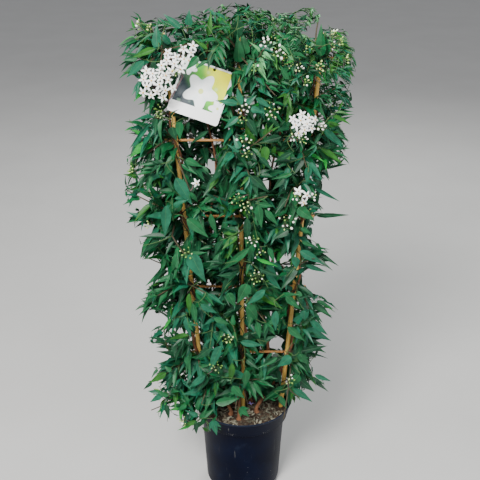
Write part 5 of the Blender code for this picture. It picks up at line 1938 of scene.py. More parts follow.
def leaf_fits(root, axis, face, length, width, foliage):
    """Whether a leaf stays within the crown's reach, off the limbs and clear of its neighbours."""
    across = axis.cross(face)
    middle = root + axis * length * LEAF_MIDDLE
    tip = root + axis * length * (1 + PETIOLE) - face * length * LEAF_DROOP
    sides = [root + axis * length * LEAF_WIDEST + across * sign * width / 2 for sign in (1, -1)]
    ends = (middle, tip, *sides)
    if in_window(middle) or in_hollow(middle) or not leaf_may_hang(tip):
        return False
    if any(in_sky(p) or in_shade(p) for p in (middle, tip)):
        return False
    if any(hides_label(p, LABEL_OVERHANG) or not in_box(p) or not in_crown(p, LEAF_PAST_REACH) for p in ends):
        return False
    apart = LEAF_APART * between(1.0, LEAF_FINE, fineness(middle))
    apart *= between(1.0, EDGE_APART, edge_share(middle))
    between_ends = [root + axis * length * share for share in LEAF_PROBES]
    if foliage.is_crowded(middle, apart) or foliage.covers_seen((*ends, *between_ends)):
        return False
    start = root + axis * length * PETIOLE
    return not touches(([start, *sides, tip], [(0, 1, 3), (0, 3, 2)]), LIMBS)


def hang_leaves(foliage, shoot, rng):
    """Leaves at even steps along a shoot, each turned on by the same angle, and often a tuft at its tip.

    Returns how far along its points the shoot bears its last leaf.
    """
    last, added = 0.0, []
    length = sum((b - a).length for a, b in zip(shoot, shoot[1:]))
    step = LEAF_STEP * between(1.0, LEAF_FINE, fineness(shoot[-1]))
    count = max(3, round(length / step))
    turn = rng.uniform(0, TURN)
    tint = spray_tint(shoot[-1], rng)
    places = [(between(FIRST_LEAF, 1.0, k / (count - 1)), False) for k in range(count)]
    if rng.random() < ROSETTE_SHARE:
        places += [(1.0, True)] * TIP_LEAVES
    for k, (share, at_tip) in enumerate(places):
        place = share * (len(shoot) - 1)
        i = min(int(place), len(shoot) - 2)
        point = shoot[i].lerp(shoot[i + 1], place - i)
        heading = (shoot[i + 1] - shoot[i]).normalized()
        edge = edge_share(point)
        size = rng.uniform(LEAF_SHORT, LEAF_LONG) * between(1.0, LEAF_FINE, fineness(point))
        size *= between(1.0, EDGE_LONGER, edge)
        size *= between(1.0, UPPER_LEAF, share_of(point.z, *UPPER_BETWEEN))
        size *= between(1.0, LAST_LEAF, share**3)
        if at_tip:
            size *= rng.uniform(*TIP_LEAF_SHARES)
        broad = rng.random() < BROAD_SHARE
        width = size * (LEAF_BROAD if broad else rng.uniform(LEAF_NARROW, LEAF_LESS_BROAD))
        width *= between(1.0, EDGE_SLIMMER, edge)
        kind = rng.choice(BROAD_KINDS if broad else LANCE_KINDS)
        own_tint = tint if rng.random() < SPRAY_TINT_SHARE else spray_tint(point, rng)
        for attempt in range(LEAF_TRIES):
            angle = turn + LEAF_TURN * k + attempt * TURN / LEAF_TRIES
            axis, face = leaf_axis(heading, angle, point, at_tip, rng)
            if leaf_fits(point, axis, face, size, width, foliage):
                column = foliage.column_at(point)
                foliage.add_leaf(column, point, axis, face, size, width, kind, own_tint)
                added.append((column, point + axis * size * LEAF_MIDDLE))
                last = max(last, place)
                break
            size *= SMALLER_TRY
            width *= SMALLER_TRY
    if len(added) < FEWEST_AT_EDGE and edge_share(shoot[-1]) > OUTERMOST:
        foliage.take_back(added)
        return 0.0
    return last


STALK_R, STALK_TIP = 0.0009, 0.7
SHORTEST_STALK = 0.002


def grow_stalk(foliage, end, tint, thick=STALK_R):
    """A stalk to a place from the wood nearest to it."""
    wood = [twig for twigs in foliage.twigs.values() for twig in twigs]
    start, heading, parent = nearest_wood(wood, end, 0.0)
    if (end - start).length < SHORTEST_STALK:
        return
    stalk = arc(start, heading, end, FINE_SEGMENTS, 0.0)
    radii = taper(len(stalk), min(parent, thick), thick * STALK_TIP)
    foliage.twigs[foliage.column_at(end)].append((stalk, radii, tint))


SEEN_TIP_FORWARD, SEEN_TIP_WANDER = 0.004, (-0.004, 0.010)
SEEN_FACE_UP, SEEN_FACE_ASIDE = 0.45, 0.4
SEEN_BROAD_FROM = 0.4


def set_seen_leaves(foliage):
    """The leaves that stand out in the photograph, each on a stalk from the nearest wood."""
    rng = random.Random(11)
    for seen in [SeenLeaf(*row) for row in SEEN_LEAVES + SEEN_LOBED]:
        base = from_photo(*seen.root_pixel, seen.y)
        tip = from_photo(*seen.tip_pixel, seen.y - SEEN_TIP_FORWARD)
        tip.y += rng.uniform(*SEEN_TIP_WANDER)
        length = (tip - base).length
        axis = (tip - base).normalized()
        root = base - axis * length * PETIOLE
        grow_stalk(foliage, root, SOFT)
        aside = Vector((rng.uniform(-SEEN_FACE_ASIDE, SEEN_FACE_ASIDE), 0, 0))
        face = (UP * SEEN_FACE_UP - Vector((0, 1, 0)) + aside).normalized()
        face = (face - axis * face.dot(axis)).normalized()
        kind = rng.choice(BROAD_KINDS if seen.width > SEEN_BROAD_FROM * length else LANCE_KINDS[:3])
        if seen in SEEN_LOBED:
            kind = LOBED
        foliage.add_leaf(foliage.column_at(root), root, axis, face, length, seen.width, kind, seen.tint)
        foliage.keep_clear(seen.root_pixel, seen.tip_pixel, seen.width / 2 + SEEN_MARGIN, seen.y)


def rosette(radius, count):
    """Places spread evenly over a disc, as angle and distance."""
    return [(LEAF_TURN * k, radius * math.sqrt((k + 0.5) / count)) for k in range(count)]


def set_blossom(foliage):
    """Heads of open stars whose stalks leave one short stem."""
    rng = random.Random(5)
    for centre, radius, count in BLOSSOM:
        middle = Vector(centre)
        stem_end = middle + Vector((0, radius * STALK_BACK, -radius * STALK_DOWN))
        grow_stalk(foliage, stem_end, STALK, HEAD_STEM_R)
        for angle, spread in rosette(radius, count):
            across = Vector((math.cos(angle), 0, math.sin(angle))) * spread
            bulge = CLUSTER_FACING * (radius * CLUSTER_BULGE * (1 - (spread / radius) ** 2))
            spot = middle + across + bulge
            out = (spot - stem_end).normalized()
            wander = Vector([rng.uniform(-FLOWER_WANDER, FLOWER_WANDER) for _ in range(3)])
            facing = (out * FLOWER_OUT + CLUSTER_FACING * FLOWER_FRONTWARDS + wander).normalized()
            turn = facing.to_track_quat("X", "Z") @ Quaternion((1, 0, 0), rng.uniform(0, TURN))
            size = FLOWER_R * rng.uniform(*FLOWER_SIZES)
            foliage.flowers.append((spot, turn, (size,) * 3, rng.randrange(3), 0))
            bend = stem_end.lerp(spot, PEDICEL_BEND_AT) + UP * PEDICEL_BEND
            pedicel = smoothed([stem_end, bend, spot - facing * size * CALYX_BACK], TWIG_STEPS)
            foliage.stalks.append((pedicel, [PEDICEL_R] * len(pedicel), STALK, False))
        pixel = to_photo(middle)
        foliage.keep_clear(pixel, pixel, radius + BLOSSOM_MARGIN, middle.y + BLOSSOM_DEEP)


def set_purple_stalk(foliage):
    """The straight dark stalk that comes down from the large blossom past the label's left edge."""
    top, end = (from_photo(*pixel, PURPLE_STALK_Y) for pixel in PURPLE_STALK_PIXELS)
    for place in (top, end):
        grow_stalk(foliage, place, STALK, PURPLE_STALK_R)
    foliage.twigs["front_left"].append(([top, top.lerp(end, 0.5), end], [PURPLE_STALK_R] * 3, STALK))
    foliage.keep_clear(*PURPLE_STALK_PIXELS, PURPLE_STALK_R + 2 * SEEN_MARGIN, PURPLE_STALK_Y)


def set_bud_head(foliage, middle, radius, count, whiteness, rng):
    """A loose head of buds on fine stalks that leave one short stem."""
    out = outward_from(middle)
    side = out.cross(UP).normalized()
    stem_end = middle - out * radius * BUD_STEM_BACK - UP * radius * BUD_STEM_DOWN
    grow_stalk(foliage, stem_end, STALK, BUD_STEM_R)
    for angle, spread in rosette(radius, count):
        spot = middle + side * math.cos(angle) * spread + UP * math.sin(angle) * spread
        spot += out * radius * rng.uniform(*BUD_OUT)
        white = rng.random() < whiteness
        tint = BUD_WHITE if white else rng.choice((BUD_CREAM, BUD_GREEN))
        size = BUD_LONG * rng.uniform(*BUD_SIZES) * (WHITE_BUD if white else GREEN_BUD)
        turn = (spot - stem_end).normalized().to_track_quat("X", "Z")
        foliage.buds.append((spot, turn, (size,) * 3, rng.randrange(2), tint))
        foliage.stalks.append(([stem_end, spot], [BUD_STALK_R] * 2, SOFT, False))


def set_seen_buds(foliage):
    rng = random.Random(7)
    for head in [SeenHead(*row) for row in SEEN_BUDS]:
        middle = from_photo(*head.pixel, BUD_DEPTH)
        if abs(middle.x) > SIDE_BUDS_FROM:
            middle = from_photo(*head.pixel, SIDE_BUD_DEPTH)
        set_bud_head(foliage, middle, head.radius, head.count, head.whiteness, rng)
        foliage.keep_clear(head.pixel, head.pixel, head.radius + SEEN_MARGIN, middle.y + HEAD_DEEP)


def set_other_buds(foliage, shoots, rng):
    """Green buds at the tips of some shoots, more of them where the leaves are fine."""
    for shoot in shoots:
        tip = shoot[-1]
        if rng.random() < TIP_BUDS + MORE_WHERE_FINE * fineness(tip):
            middle = tip + outward_from(tip) * TIP_HEAD_OUT - UP * TIP_HEAD_DOWN
            radius = rng.uniform(*TIP_HEAD_R)
            outermost = middle + outward_from(tip) * radius * TIP_HEAD_ROOM
            if within_reach(outermost) and in_box(outermost) and not foliage.covers_seen((middle,)):
                set_bud_head(foliage, middle, radius, rng.randint(*TIP_HEAD_COUNT), TIP_HEAD_WHITENESS, rng)


def keep_wood_clear(foliage):
    """Keeps leaves off the stretches of cane and crossbar, and off the compost, that the photograph shows."""
    for side, stretches in SEEN_CANES.items():
        for stretch in stretches:
            pixels = [to_photo(Vector((cane_x(side, z), 0, z))) for z in stretch]
            foliage.keep_clear(*pixels, CANE_SHOWS, 0.0)
    for number, left, right in SEEN_BARS:
        pixels = [to_photo(Vector((x, bar_y(number), bar_z(number)))) for x in (left, right)]
        foliage.keep_clear(*pixels, BAR_SHOWS, bar_y(number))
    foliage.keep_clear(*SEEN_SOIL_PIXELS, SOIL_SHOWS, COLLAR_TOP_R)
    foliage.keep_clear(*SEEN_RIM_PIXELS, RIM_SHOWS, COLLAR_TOP_R)


def place_key(point):
    return tuple(round(c, 5) for c in point)


def grow_crown():
    foliage = Foliage()
    keep_wood_clear(foliage)
    masses = spaces()
    grown = {}
    for seed, (name, (space, column, stem, foot)) in enumerate(masses.items()):
        twigs, shoots = grow_mass(space, stem, foot, random.Random(FIRST_SEED + seed))
        foliage.twigs[column].extend(twigs)
        grown[name] = shoots
    set_blossom(foliage)
    set_purple_stalk(foliage)
    set_seen_leaves(foliage)
    set_seen_buds(foliage)
    rng = random.Random(23)
    for shoots in grown.values():
        set_other_buds(foliage, shoots, rng)
    forks = {place_key(points[0]) for twigs in foliage.twigs.values() for points, _, _ in twigs}
    for shoots in grown.values():
        for shoot in shoots:
            last = hang_leaves(foliage, shoot, rng)
            borne = [i for i, point in enumerate(shoot) if i and place_key(point) in forks]
            kept = max([math.ceil(last)] + borne)
            if len(shoot) > FINE_SEGMENTS:
                del shoot[kept + 1:]
    return foliage, masses


FLOWER_SHAPES, BUD_SHAPES = ((0.10, 0.0), (0.22, 0.3), (-0.02, 0.6)), (1.0, 0.72)
BLOSSOMING = ("leaves_front_left_5", "leaves_front_left_4", "leaves_front_right_4", "leaves_front_right_3")


def make_foliage():
    foliage, masses = grow_crown()
    blades = leaf_kinds()
    for column in COLUMNS:
        nodes = [name for name, (_, own, _, _) in masses.items() if own == column]
        scattered(f"leaves_in_{column}", foliage.leaves[column], blades, LEAF_FINISHES, "foliage", *nodes)
        courses = []
        for points, radii, tint in foliage.twigs[column]:
            if len(points) > 1:
                course = smoothed(points, TWIG_STEPS)
                courses.append((course, taper(len(course), radii[0], radii[-1]), tint, False))
        piped(f"twigs_in_{column}", courses, TWIG_FINISHES, TWIG_SIDES, "bark", *nodes)
    stars = [flower_kind(cup, twist) for cup, twist in FLOWER_SHAPES]
    scattered("flowers", foliage.flowers, stars, FLOWER_FINISHES, "foliage", *BLOSSOMING)
    buds = [bud_kind(slim, BUD_GREEN) for slim in BUD_SHAPES]
    scattered("buds", foliage.buds, buds, BUD_FINISHES, "foliage", *BLOSSOMING)
    piped("flower_stalks", foliage.stalks, TWIG_FINISHES, STALK_SIDES, "bark", *BLOSSOMING)


# The pot, the soil and what lies on it.


POT_ROUNDING, POT_INNER_ROUNDING, ROUND_AT_MOST = 0.0012, 0.002, 0.45


def rounded(outline, radius, steps=3):
    """An outline of (r, z) corners with each turn between straight runs rounded off."""
    made = [outline[0]]
    for before, corner, after in zip(outline, outline[1:], outline[2:]):
        here = Vector(corner)
        to_before, to_after = Vector(before) - here, Vector(after) - here
        cut = min(radius, to_before.length * ROUND_AT_MOST, to_after.length * ROUND_AT_MOST)
        a, b = here + to_before.normalized() * cut, here + to_after.normalized() * cut
        for k in range(steps + 1):
            t = k / steps
            made.append(tuple(a.lerp(here, t).lerp(here.lerp(b, t), t)))
    made.append(outline[-1])
    return made


def turned(name, profile, sides):
    """A turned shape from an outline of radii and heights that runs down its outer side."""
    edges = [(i, i + 1) for i in range(len(profile) - 1)]
    obj = new_object(name, [(r, 0, z) for r, z in profile], [], edges)
    screw = obj.modifiers.new("turned", "SCREW")
    screw.axis = "Z"
    screw.steps = screw.render_steps = sides
    screw.use_merge_vertices = True
    screw.merge_threshold = 0.00001
    made_real(obj)
    return point_out(obj)


def inner_wall():
    shoulder_z = POT_HEIGHT - COLLAR_DEPTH
    return [
        (POT_FOOT_R - POT_WALL - POT_FOOT_TURN, POT_FLOOR),
        (POT_FOOT_R - POT_WALL, POT_FOOT_HEIGHT),
        (POT_SHOULDER_R - POT_WALL, shoulder_z - POT_STEP_SOFT),
        (COLLAR_FOOT_R - POT_WALL, shoulder_z + POT_STEP_SOFT),
        (COLLAR_TOP_R - POT_WALL, POT_HEIGHT - POT_LIP),
    ]


def cut_away(obj, cutters):
    for k, cutter in enumerate(cutters):
        cut = obj.modifiers.new(f"cut {k}", "BOOLEAN")
        cut.operation = "DIFFERENCE"
        cut.object = cutter
    made_real(obj)
    for cutter in cutters:
        bpy.data.objects.remove(cutter)
    return obj


def cylinder(radius, low, high, sides=24):
    """A closed cylinder between two points."""
    return point_out(new_object("cutter", *even_tube([low, high], radius, sides)))


def make_pot():
    """The pot: a rolled lip, a flared collar over a small step, a tapering body and drain holes."""
    edge = POT_HEIGHT - COLLAR_DEPTH
    outside = [
        (COLLAR_TOP_R - POT_WALL, POT_HEIGHT - POT_LIP),
        (COLLAR_TOP_R - POT_WALL + POT_LIP / 2, POT_HEIGHT),
        (COLLAR_TOP_R + POT_LIP / 2, POT_HEIGHT),
        (COLLAR_TOP_R + POT_LIP, POT_HEIGHT - POT_LIP),
        (COLLAR_TOP_R + POT_LIP / 2, POT_HEIGHT - 3 * POT_LIP),
        (COLLAR_TOP_R - POT_LIP, POT_HEIGHT - 4.5 * POT_LIP),
        (COLLAR_FOOT_R + POT_LIP / 2, edge + 2.2 * POT_LIP),
        (COLLAR_FOOT_R + POT_LIP / 2, edge + POT_LIP),
        (COLLAR_FOOT_R - POT_LIP, edge),
        (POT_SHOULDER_R, edge - POT_STEP_SOFT),
        (between(POT_FOOT_R, POT_SHOULDER_R, 0.5), between(POT_FOOT_HEIGHT, edge, 0.5)),
        (POT_FOOT_R, POT_FOOT_HEIGHT),
        (POT_FOOT_R - POT_FOOT_TURN, 0.0),
        (0.0, 0.0),
    ]
    outline = rounded(outside, POT_ROUNDING) + rounded([(0.0, POT_FLOOR)] + inner_wall(), POT_INNER_ROUNDING)
    pot = turned("pot_shell", outline, POT_SIDES)
    drains = []
    for k in range(DRAIN_COUNT):
        angle = TURN * (k + 0.5) / DRAIN_COUNT
        at = Vector((DRAIN_RING_R * math.cos(angle), DRAIN_RING_R * math.sin(angle), 0))
        drains.append(cylinder(DRAIN_R, at - UP * 2 * POT_FLOOR, at + UP * 2 * POT_FLOOR))
    smooth(cut_away(pot, drains), 40)
    return piece(pot, [pot_plastic()], "black_plastic", "pot")


SOIL_LUMP = 0.0032
SOIL_RINGS = 26
SOIL_SPOKES = 96
SOIL_FLAT_NEAR, SOIL_FLAT_FAR = 0.008, 0.022


# Where canes and stems come out of the soil, as x and y.
FEET = [Vector((cane_x(side, SOIL_TOP), 0)) for side in (-1, 0, 1)]
FEET += [stem["foot"] for stem in STEMS.values()]
# Lumps of the compost's top, as scale and share.
SOIL_LUMPS = ((34, 0.6), (90, 0.3), (220, 0.12))
SOIL_SUNK, SOIL_SUNK_BETWEEN = 0.0035, (0.075, 0.108)


def foot_distance(x, y):
    """How far a place on the compost is from the nearest cane or stem."""
    return min((Vector((x, y)) - foot).length for foot in FEET)


def soil_height(x, y):
    """The lumpy top of the compost, level round each cane and stem, and a little lower at the wall."""
    lumps = sum(noise.noise(Vector((x, y, 0)) * scale) * share for scale, share in SOIL_LUMPS)
    free = smooth_share(foot_distance(x, y), SOIL_FLAT_NEAR, SOIL_FLAT_FAR)
    sunk = smooth_share(math.hypot(x, y), *SOIL_SUNK_BETWEEN) * SOIL_SUNK
    return SOIL_TOP + (lumps * SOIL_LUMP - sunk) * free


def make_soil():
    """The compost: a lumpy disc over a turned block, with a socket round each cane."""
    wall = inner_wall()
    (r_below, z_below), (r_above, z_above) = wall[-2:]
    top_r = between(r_below, r_above, (SOIL_TOP - z_below) / (z_above - z_below)) - GAP
    points = [Vector((0, 0, soil_height(0, 0)))]
    for number in range(1, SOIL_RINGS + 1):
        level = ring(top_r * number / SOIL_RINGS, SOIL_SPOKES)
        points += [Vector((p.x, p.y, soil_height(p.x, p.y))) for p in level]
    below = [(r - GAP, z) for r, z in reversed(wall[1:-1])] + [(wall[0][0] - GAP, POT_FLOOR + GAP)]
    for radius, z in below:
        points += ring(radius, SOIL_SPOKES, z)
    points.append(Vector((0, 0, POT_FLOOR + GAP)))
    faces = between_poles(SOIL_RINGS + len(below), SOIL_SPOKES)
    soil = point_out(new_object("compost_fill", points, faces))
    sockets = []
    for side in (-1, 0, 1):
        low, high = (Vector((cane_x(side, z), 0, z)) for z in (CANE_FOOT_Z - GAP, SOIL_TOP + CANE_FOOT_Z))
        sockets.append(cylinder(CANE_FOOT_R + CANE_NODE_SWELL + GAP, low, high))
    smooth(cut_away(soil, sockets), 50)
    return piece(soil, [compost()], "compost", "soil")


CHIP_COUNT = 820
CHIP_FIELD_R = 0.108
CHIP_FOOT_ROOM, CHIP_WALL_ROOM = 0.0085, 0.001
CHIP_LONG, CHIP_AT_WALL = (0.005, 0.021), 0.6
CHIP_WIDE, CHIP_THICK = (0.14, 0.42), (0.0008, 0.0022)
CHIP_TILTS, CHIP_UP, CHIP_LIFT = (0.35, 0.20), 0.6, 0.0018
CHIP_WEIGHTS = (0.28, 0.32, 0.26, 0.14)
CHIP_SHAPES = 4


def make_chips():
    """Splinters and flakes of wood strewn over the compost, lying flat or tilted on each other."""
    rng = random.Random(31)
    places = []
    while len(places) < CHIP_COUNT:
        angle, radius = rng.uniform(0, TURN), CHIP_FIELD_R * math.sqrt(rng.random())
        x, y = radius * math.cos(angle), radius * math.sin(angle)
        long = rng.uniform(*CHIP_LONG) * between(1.0, CHIP_AT_WALL, radius / CHIP_FIELD_R)
        at_foot = foot_distance(x, y) < CHIP_FOOT_ROOM + long / 2
        if at_foot or radius + long / 2 > CHIP_FIELD_R + CHIP_WALL_ROOM:
            continue
        tilts = [rng.gauss(0, tilt) for tilt in CHIP_TILTS]
        lie = Euler((*tilts, rng.uniform(0, TURN))).to_quaternion()
        wide = long * rng.uniform(*CHIP_WIDE)
        thick = rng.uniform(*CHIP_THICK)
        spot = Vector((x, y, soil_height(x, y) + thick * CHIP_UP + rng.uniform(0.0, CHIP_LIFT)))
        tint = rng.choices(range(len(CHIP_FINISHES)), CHIP_WEIGHTS)[0]
        places.append((spot, lie, (long, wide, thick), rng.randrange(CHIP_SHAPES), tint))
    shapes = [chip_kind(seed) for seed in range(CHIP_SHAPES)]
    return smooth(scattered("wood_chips", places, shapes, CHIP_FINISHES, "compost"), 30)


SCRAP_PLACE = Vector((0.0190, -0.002, SOIL_TOP + 0.006))
SCRAP_PETALS, SCRAP_STEPS, SCRAP_UNEVEN = 4, 4, 0.2
SCRAP_LONG, SCRAP_WIDE, SCRAP_NARROW = 0.0115, 0.0036, 0.25
SCRAP_SPREAD, SCRAP_RISE, SCRAP_CURL = 0.8, 0.75, 0.55
SCRAP_VIOLETS = (0.34, 0.22, 0.80), (0.66, 0.52, 0.98)


def make_scrap():
    """A withered violet floret that has dropped on the compost: a few curled strips from one heart."""
    points, faces = [], []
    for k in range(SCRAP_PETALS):
        turn = Matrix.Rotation(TURN * (k + SCRAP_UNEVEN * (k % 2)) / SCRAP_PETALS, 3, "Z")
        faces += flipped(across_rows(SCRAP_STEPS + 1, 2, first=len(points), closed=False))
        for step in range(SCRAP_STEPS + 1):
            share = step / SCRAP_STEPS
            half = SCRAP_WIDE * (SCRAP_NARROW + math.sin(math.pi * share) * (1 - SCRAP_NARROW)) / 2
            rise = SCRAP_LONG * (SCRAP_RISE * share - SCRAP_CURL * share * share)
            for y in (-half, half):
                points.append(SCRAP_PLACE + turn @ Vector((SCRAP_LONG * share * SCRAP_SPREAD, y, rise)))
    violet = two_toned("withered_violet", 500.0, *SCRAP_VIOLETS, 0.6, 0.0002, 0.3)
    return piece(smooth(new_object("violet_floret", points, faces)), [violet], "compost")


# The fan's pieces.


CANE_UNEVEN_SCALE, BAR_UNEVEN_SCALE, UNEVEN_SHIFT = 90, 60, 0.004


def uneven(size, scale):
    """A bump for a tube: even noise of so much of its radius."""
    return lambda point, out: noise.noise((point + out * UNEVEN_SHIFT) * scale) * size


CANE, RING, PITH = range(3)
# How a node swells along a cane: places in its half length, and shares of the swell.
NODE_PROFILE = ((-1.0, 0.0), (-0.35, 0.35), (-0.12, 1.0), (0.06, 0.1), (0.20, 0.75), (0.55, 0.3), (1.0, 0.0))
NODE_ROOM, NODE_STAIN = 0.002, 0.3
# The hollow in a cane's cut top: shares of its radius, and how deep they lie.
CANE_HOLLOW = ((0.62, 0.0), (0.55, 0.004))


def make_cane(side, name, finishes):
    """A bamboo cane: ringed at its nodes, cut flat at the top round a hollow."""
    nodes = cane_nodes(side)
    count = math.ceil((CANE_TOP_Z - CANE_FOOT_Z) / CANE_RING_STEP - 0.5)
    heights = [CANE_FOOT_Z + CANE_RING_STEP * k for k in range(count)]
    rings = [(z, 0.0) for z in heights if all(abs(z - node) > CANE_NODE_HALF + NODE_ROOM for node in nodes)]
    for node in nodes:
        rings += [(node + at * CANE_NODE_HALF, swell * CANE_NODE_SWELL) for at, swell in NODE_PROFILE]
    rings = sorted(rings + [(CANE_TOP_Z, 0.0)])
    centres = [Vector((cane_x(side, z), 0, z)) for z, _ in rings]
    radii = [cane_radius(z) + swell for z, swell in rings]
    bump = uneven(CANE_UNEVEN / CANE_FOOT_R, CANE_UNEVEN_SCALE)
    points, faces = tube(centres, radii, CANE_SIDES, bump)
    stained = [any(abs(z - node) < NODE_STAIN * CANE_NODE_HALF for node in nodes) for z, _ in rings[:-1]]
    own = [RING if dark else CANE for dark in stained for _ in range(CANE_SIDES)] + [CANE]
    top, edge = centres[-1], points[-CANE_SIDES:]
    faces.pop()
    faces += across_rows(1 + len(CANE_HOLLOW), CANE_SIDES, first=len(points) - CANE_SIDES)
    for share, sunk in CANE_HOLLOW:
        points += [top + (p - top) * share - UP * sunk for p in edge]
    faces.append(tuple(range(len(points) - CANE_SIDES, len(points))))
    own += [PITH] * (len(faces) - len(own))
    cane = smooth(own_finishes(new_object(f"bamboo_{name}", points, faces), own), 35)
    return piece(cane, finishes, "bamboo", f"cane_{name}")


BAR_STEPS, BAR_SIDES = 40, 14


def make_crossbar(number, finish):
    """A thin split cane, a little uneven, sawn off square at both ends."""
    a, b = bar_ends(number)
    centres = [a.lerp(b, k / BAR_STEPS) for k in range(BAR_STEPS + 1)]
    bump = uneven(BAR_UNEVEN / BAR_R, BAR_UNEVEN_SCALE + number)
    bar = new_object(f"split_cane_bar_{number}", *even_tube(centres, BAR_R, BAR_SIDES, bump))
    smooth(bar, 40)
    return piece(bar, [finish], "split_cane", f"crossbar_{number}")


TAIL_WAY = Vector((0.55, 0.75, -0.35)).normalized()
TAIL_STEPS, TAIL_THINNER = 12, 0.9
WIRE_SIDES, TIE_STEPS, LOOP_STEPS = 8, 6, 4


def tail_courses(side, number):
    """The two twisted ends of a tie, which stand out behind the crossbar."""
    knot = tie_points(side, number)[2]
    across = TAIL_WAY.orthogonal().normalized()
    other = TAIL_WAY.cross(across)
    for phase in (0.0, math.pi):
        points = []
        for k in range(TAIL_STEPS + 1):
            t = k / TAIL_STEPS
            angle = phase + TURN * TIE_TAIL_TURNS * t
            beside = across * math.cos(angle) + other * math.sin(angle)
            points.append(knot + TAIL_WAY * TIE_TAIL * t + beside * TIE_R)
        yield points


def make_ties(wire):
    names = {-1: "left", 0: "middle", 1: "right"}
    for side, name in names.items():
        courses, nodes = [], []
        for number in range(1, BAR_COUNT + 1):
            loop = smoothed(tie_points(side, number), TIE_STEPS, TIE_ROUNDING, closed=True)
            courses.append((loop, [TIE_R] * len(loop), 0, True))
            for tail in tail_courses(side, number):
                courses.append((tail, [TIE_R * TAIL_THINNER] * len(tail), 0, False))
            nodes.append(f"tie_{number}_{name}")
        piped(f"wire_ties_{name}", courses, [wire], WIRE_SIDES, "dark_wire", *nodes)


# Ridges and finer grooves along a stem: how close round it and along it, and how strong.
BARK_GROOVES = ((3.0, 26, 0.55), (7.0, 130, 0.30))
KNOB_SCALE, KNOB_SHIFT, KNOB_FROM, KNOB_STRENGTH = 95, 0.6, 0.25, 1.1


def bark_bump(point, out):
    """Ridges and finer grooves along a stem, and small knobs."""
    relief = 0.0
    for around, along, strength in BARK_GROOVES:
        relief += noise.noise(Vector((out.x * around, out.y * around, point.z * along))) * strength
    knobs = max(0.0, noise.noise(point * KNOB_SCALE + out * KNOB_SHIFT) - KNOB_FROM) * KNOB_STRENGTH
    return BARK_RELIEF * (relief + knobs)


def make_stem(name, finish):
    points, radii = COURSES[name]
    course = smoothed(points, STEM_SMOOTH)
    thick = [between(r, s, k / STEM_SMOOTH) for r, s in zip(radii, radii[1:]) for k in range(STEM_SMOOTH)]
    shape = tube(course, thick + [radii[-1]], STEM_SIDES, bark_bump)
    stem = smooth(new_object(f"bark_of_{name}", *shape), 50)
    return piece(stem, [finish], "bark", name)


# The label.


CURL_ACROSS, CURL_UP, CURL_LEVEL = 0.6, 0.4, 0.35
CARD_THINNER = 0.8
PUNCH = LABEL_FACING * 0.01


def make_label():
    """The picture label: a thin card with round corners, a punched hole and a slight curl."""
    cells, count = LABEL_CELLS, LABEL_CELLS + 1
    half_wide, half_tall = LABEL_WIDE / 2, LABEL_TALL / 2

    def placed(i, j, side):
        v = between(-half_tall, half_tall, j / cells)
        depth = max(0.0, abs(v) - (half_tall - LABEL_CORNER_R))
        trim = LABEL_CORNER_R - math.sqrt(max(0.0, LABEL_CORNER_R**2 - depth**2))
        u = between(-(half_wide - trim), half_wide - trim, i / cells)
        bent = (u / half_wide) ** 2 * CURL_ACROSS + (v / half_tall) ** 2 * CURL_UP - CURL_LEVEL
        return label_point(u, v, side * LABEL_THICK / 2 * CARD_THINNER - LABEL_CURL * bent)

    points = [placed(i, j, side) for side in (1, -1) for j in range(count) for i in range(count)]
    back = count * count
    fronts = across_rows(count, count, closed=False)
    backs = flipped(across_rows(count, count, first=back, closed=False))
    faces = [face for pair in zip(fronts, backs) for face in pair]
    rim = list(range(count)) + [j * count + cells for j in range(1, count)]
    rim += [cells * count + i for i in reversed(range(cells))] + [j * count for j in range(cells - 1, 0, -1)]
    faces += [(a, back + a, back + b, b) for a, b in zip(rim, rim[1:] + rim[:1])]
    card = new_object("label_card", points, faces)
    for finish in (label_print(), card_white()):
        card.data.materials.append(finish)
    point_out(own_finishes(card, [0, 1] * len(fronts) + [1] * len(rim)))
    middle = hole_centre()
    cut_away(card, [cylinder(LABEL_HOLE_R, middle - PUNCH, middle + PUNCH)])
    uv = card.data.uv_layers.new(name="UVMap")
    for loop in card.data.loops:
        offset = card.data.vertices[loop.vertex_index].co - LABEL_CENTRE
        spot = (offset.dot(LABEL_ACROSS) / LABEL_WIDE + 0.5, offset.dot(LABEL_UP) / LABEL_TALL + 0.5)
        uv.data[loop.index].uv = spot
    return piece(smooth(card, 40), [], "label_card", "label")


def make_loop(wire):
    loop = smoothed(loop_points(), LOOP_STEPS, TIE_ROUNDING, closed=True)
    course = (loop, [LOOP_R] * len(loop), 0, True)
    piped("label_wire", [course], [wire], WIRE_SIDES, "dark_wire", "label_loop")


# The camera, the floor and the light.


def make_camera():
    data = bpy.data.cameras.new("camera")
    data.sensor_width = SENSOR
    data.lens = FOCAL_PIXELS / (2 * PHOTO_MIDDLE) * SENSOR
    camera = bpy.data.objects.new("camera", data)
    camera.location = EYE
    camera.rotation_euler = (math.pi / 2 - PITCH, 0, 0)
    bpy.context.scene.collection.objects.link(camera)
    bpy.context.scene.camera = camera


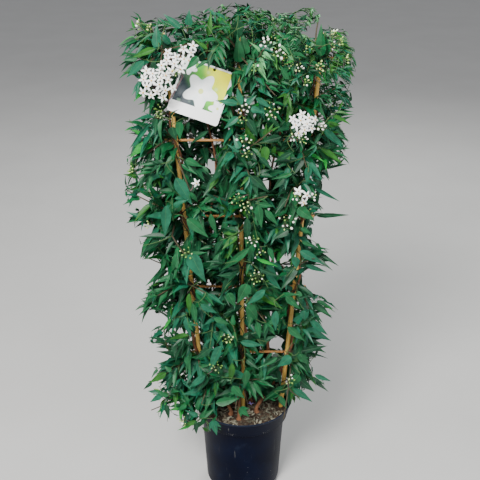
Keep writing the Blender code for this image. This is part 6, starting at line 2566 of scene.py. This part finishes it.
# Name, place, height of the aim, size, power and colour.
LIGHTS = (
    ("key", (-0.95, -2.3, 2.9), 0.75, 1.3, 240, (1.0, 1.0, 0.97)),
    ("fill", (2.2, -2.0, 1.8), 0.6, 2.4, 40, (0.94, 0.98, 1.0)),
    ("behind", (0.6, 2.4, 2.6), 0.8, 1.6, 60, (0.97, 1.0, 0.97)),
)
DAYLIGHT, DAYLIGHT_STRENGTH = (0.93, 0.96, 1.0, 1), 0.45
FLOOR_HALF = 30


def area_light(name, place, aim_z, size, power, colour):
    data = bpy.data.lights.new(name, "AREA")
    data.shape = "DISK"
    data.size = size
    data.energy = power
    data.color = colour
    light = bpy.data.objects.new(name, data)
    light.location = place
    light.rotation_euler = (UP * aim_z - Vector(place)).to_track_quat("-Z", "Y").to_euler()
    bpy.context.scene.collection.objects.link(light)


def make_stage():
    corners = [(x * FLOOR_HALF, y * FLOOR_HALF, 0) for x, y in ((-1, -1), (1, -1), (1, 1), (-1, 1))]
    floor = new_object("floor", corners, [(0, 1, 2, 3)])
    floor.data.materials.append(stage_floor())
    floor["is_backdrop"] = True
    for light in LIGHTS:
        area_light(*light)
    world = bpy.data.worlds.new("studio")
    world.use_nodes = True
    background = world.node_tree.nodes["Background"]
    background.inputs["Color"].default_value = DAYLIGHT
    background.inputs["Strength"].default_value = DAYLIGHT_STRENGTH
    bpy.context.scene.world = world


RING_BROWNS = (0.115, 0.055, 0.022), (0.34, 0.185, 0.075)
STEM_BROWNS = (0.085, 0.030, 0.014), (0.30, 0.125, 0.055)


def main():
    make_camera()
    make_stage()
    make_pot()
    make_soil()
    make_chips()
    make_scrap()
    rings = two_toned("bamboo_ring", 420.0, *RING_BROWNS, 0.7, 0.0004, 0.6, detail=3.0)
    cane_finishes = [bamboo(), rings, bamboo_pith()]
    for side, name in ((-1, "left"), (0, "middle"), (1, "right")):
        make_cane(side, name, cane_finishes)
    bar_finish = split_cane()
    for number in range(1, BAR_COUNT + 1):
        make_crossbar(number, bar_finish)
    wire = dark_wire()
    make_ties(wire)
    stem_bark = bark("stem_bark", *STEM_BROWNS)
    for name in STEMS:
        make_stem(name, stem_bark)
    make_label()
    make_loop(wire)
    make_foliage()
    sizes = {"solids": solid_box, "looks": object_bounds()}
    {name: [list(corner) for corner in box] for name, box in sizes.items()}


main()
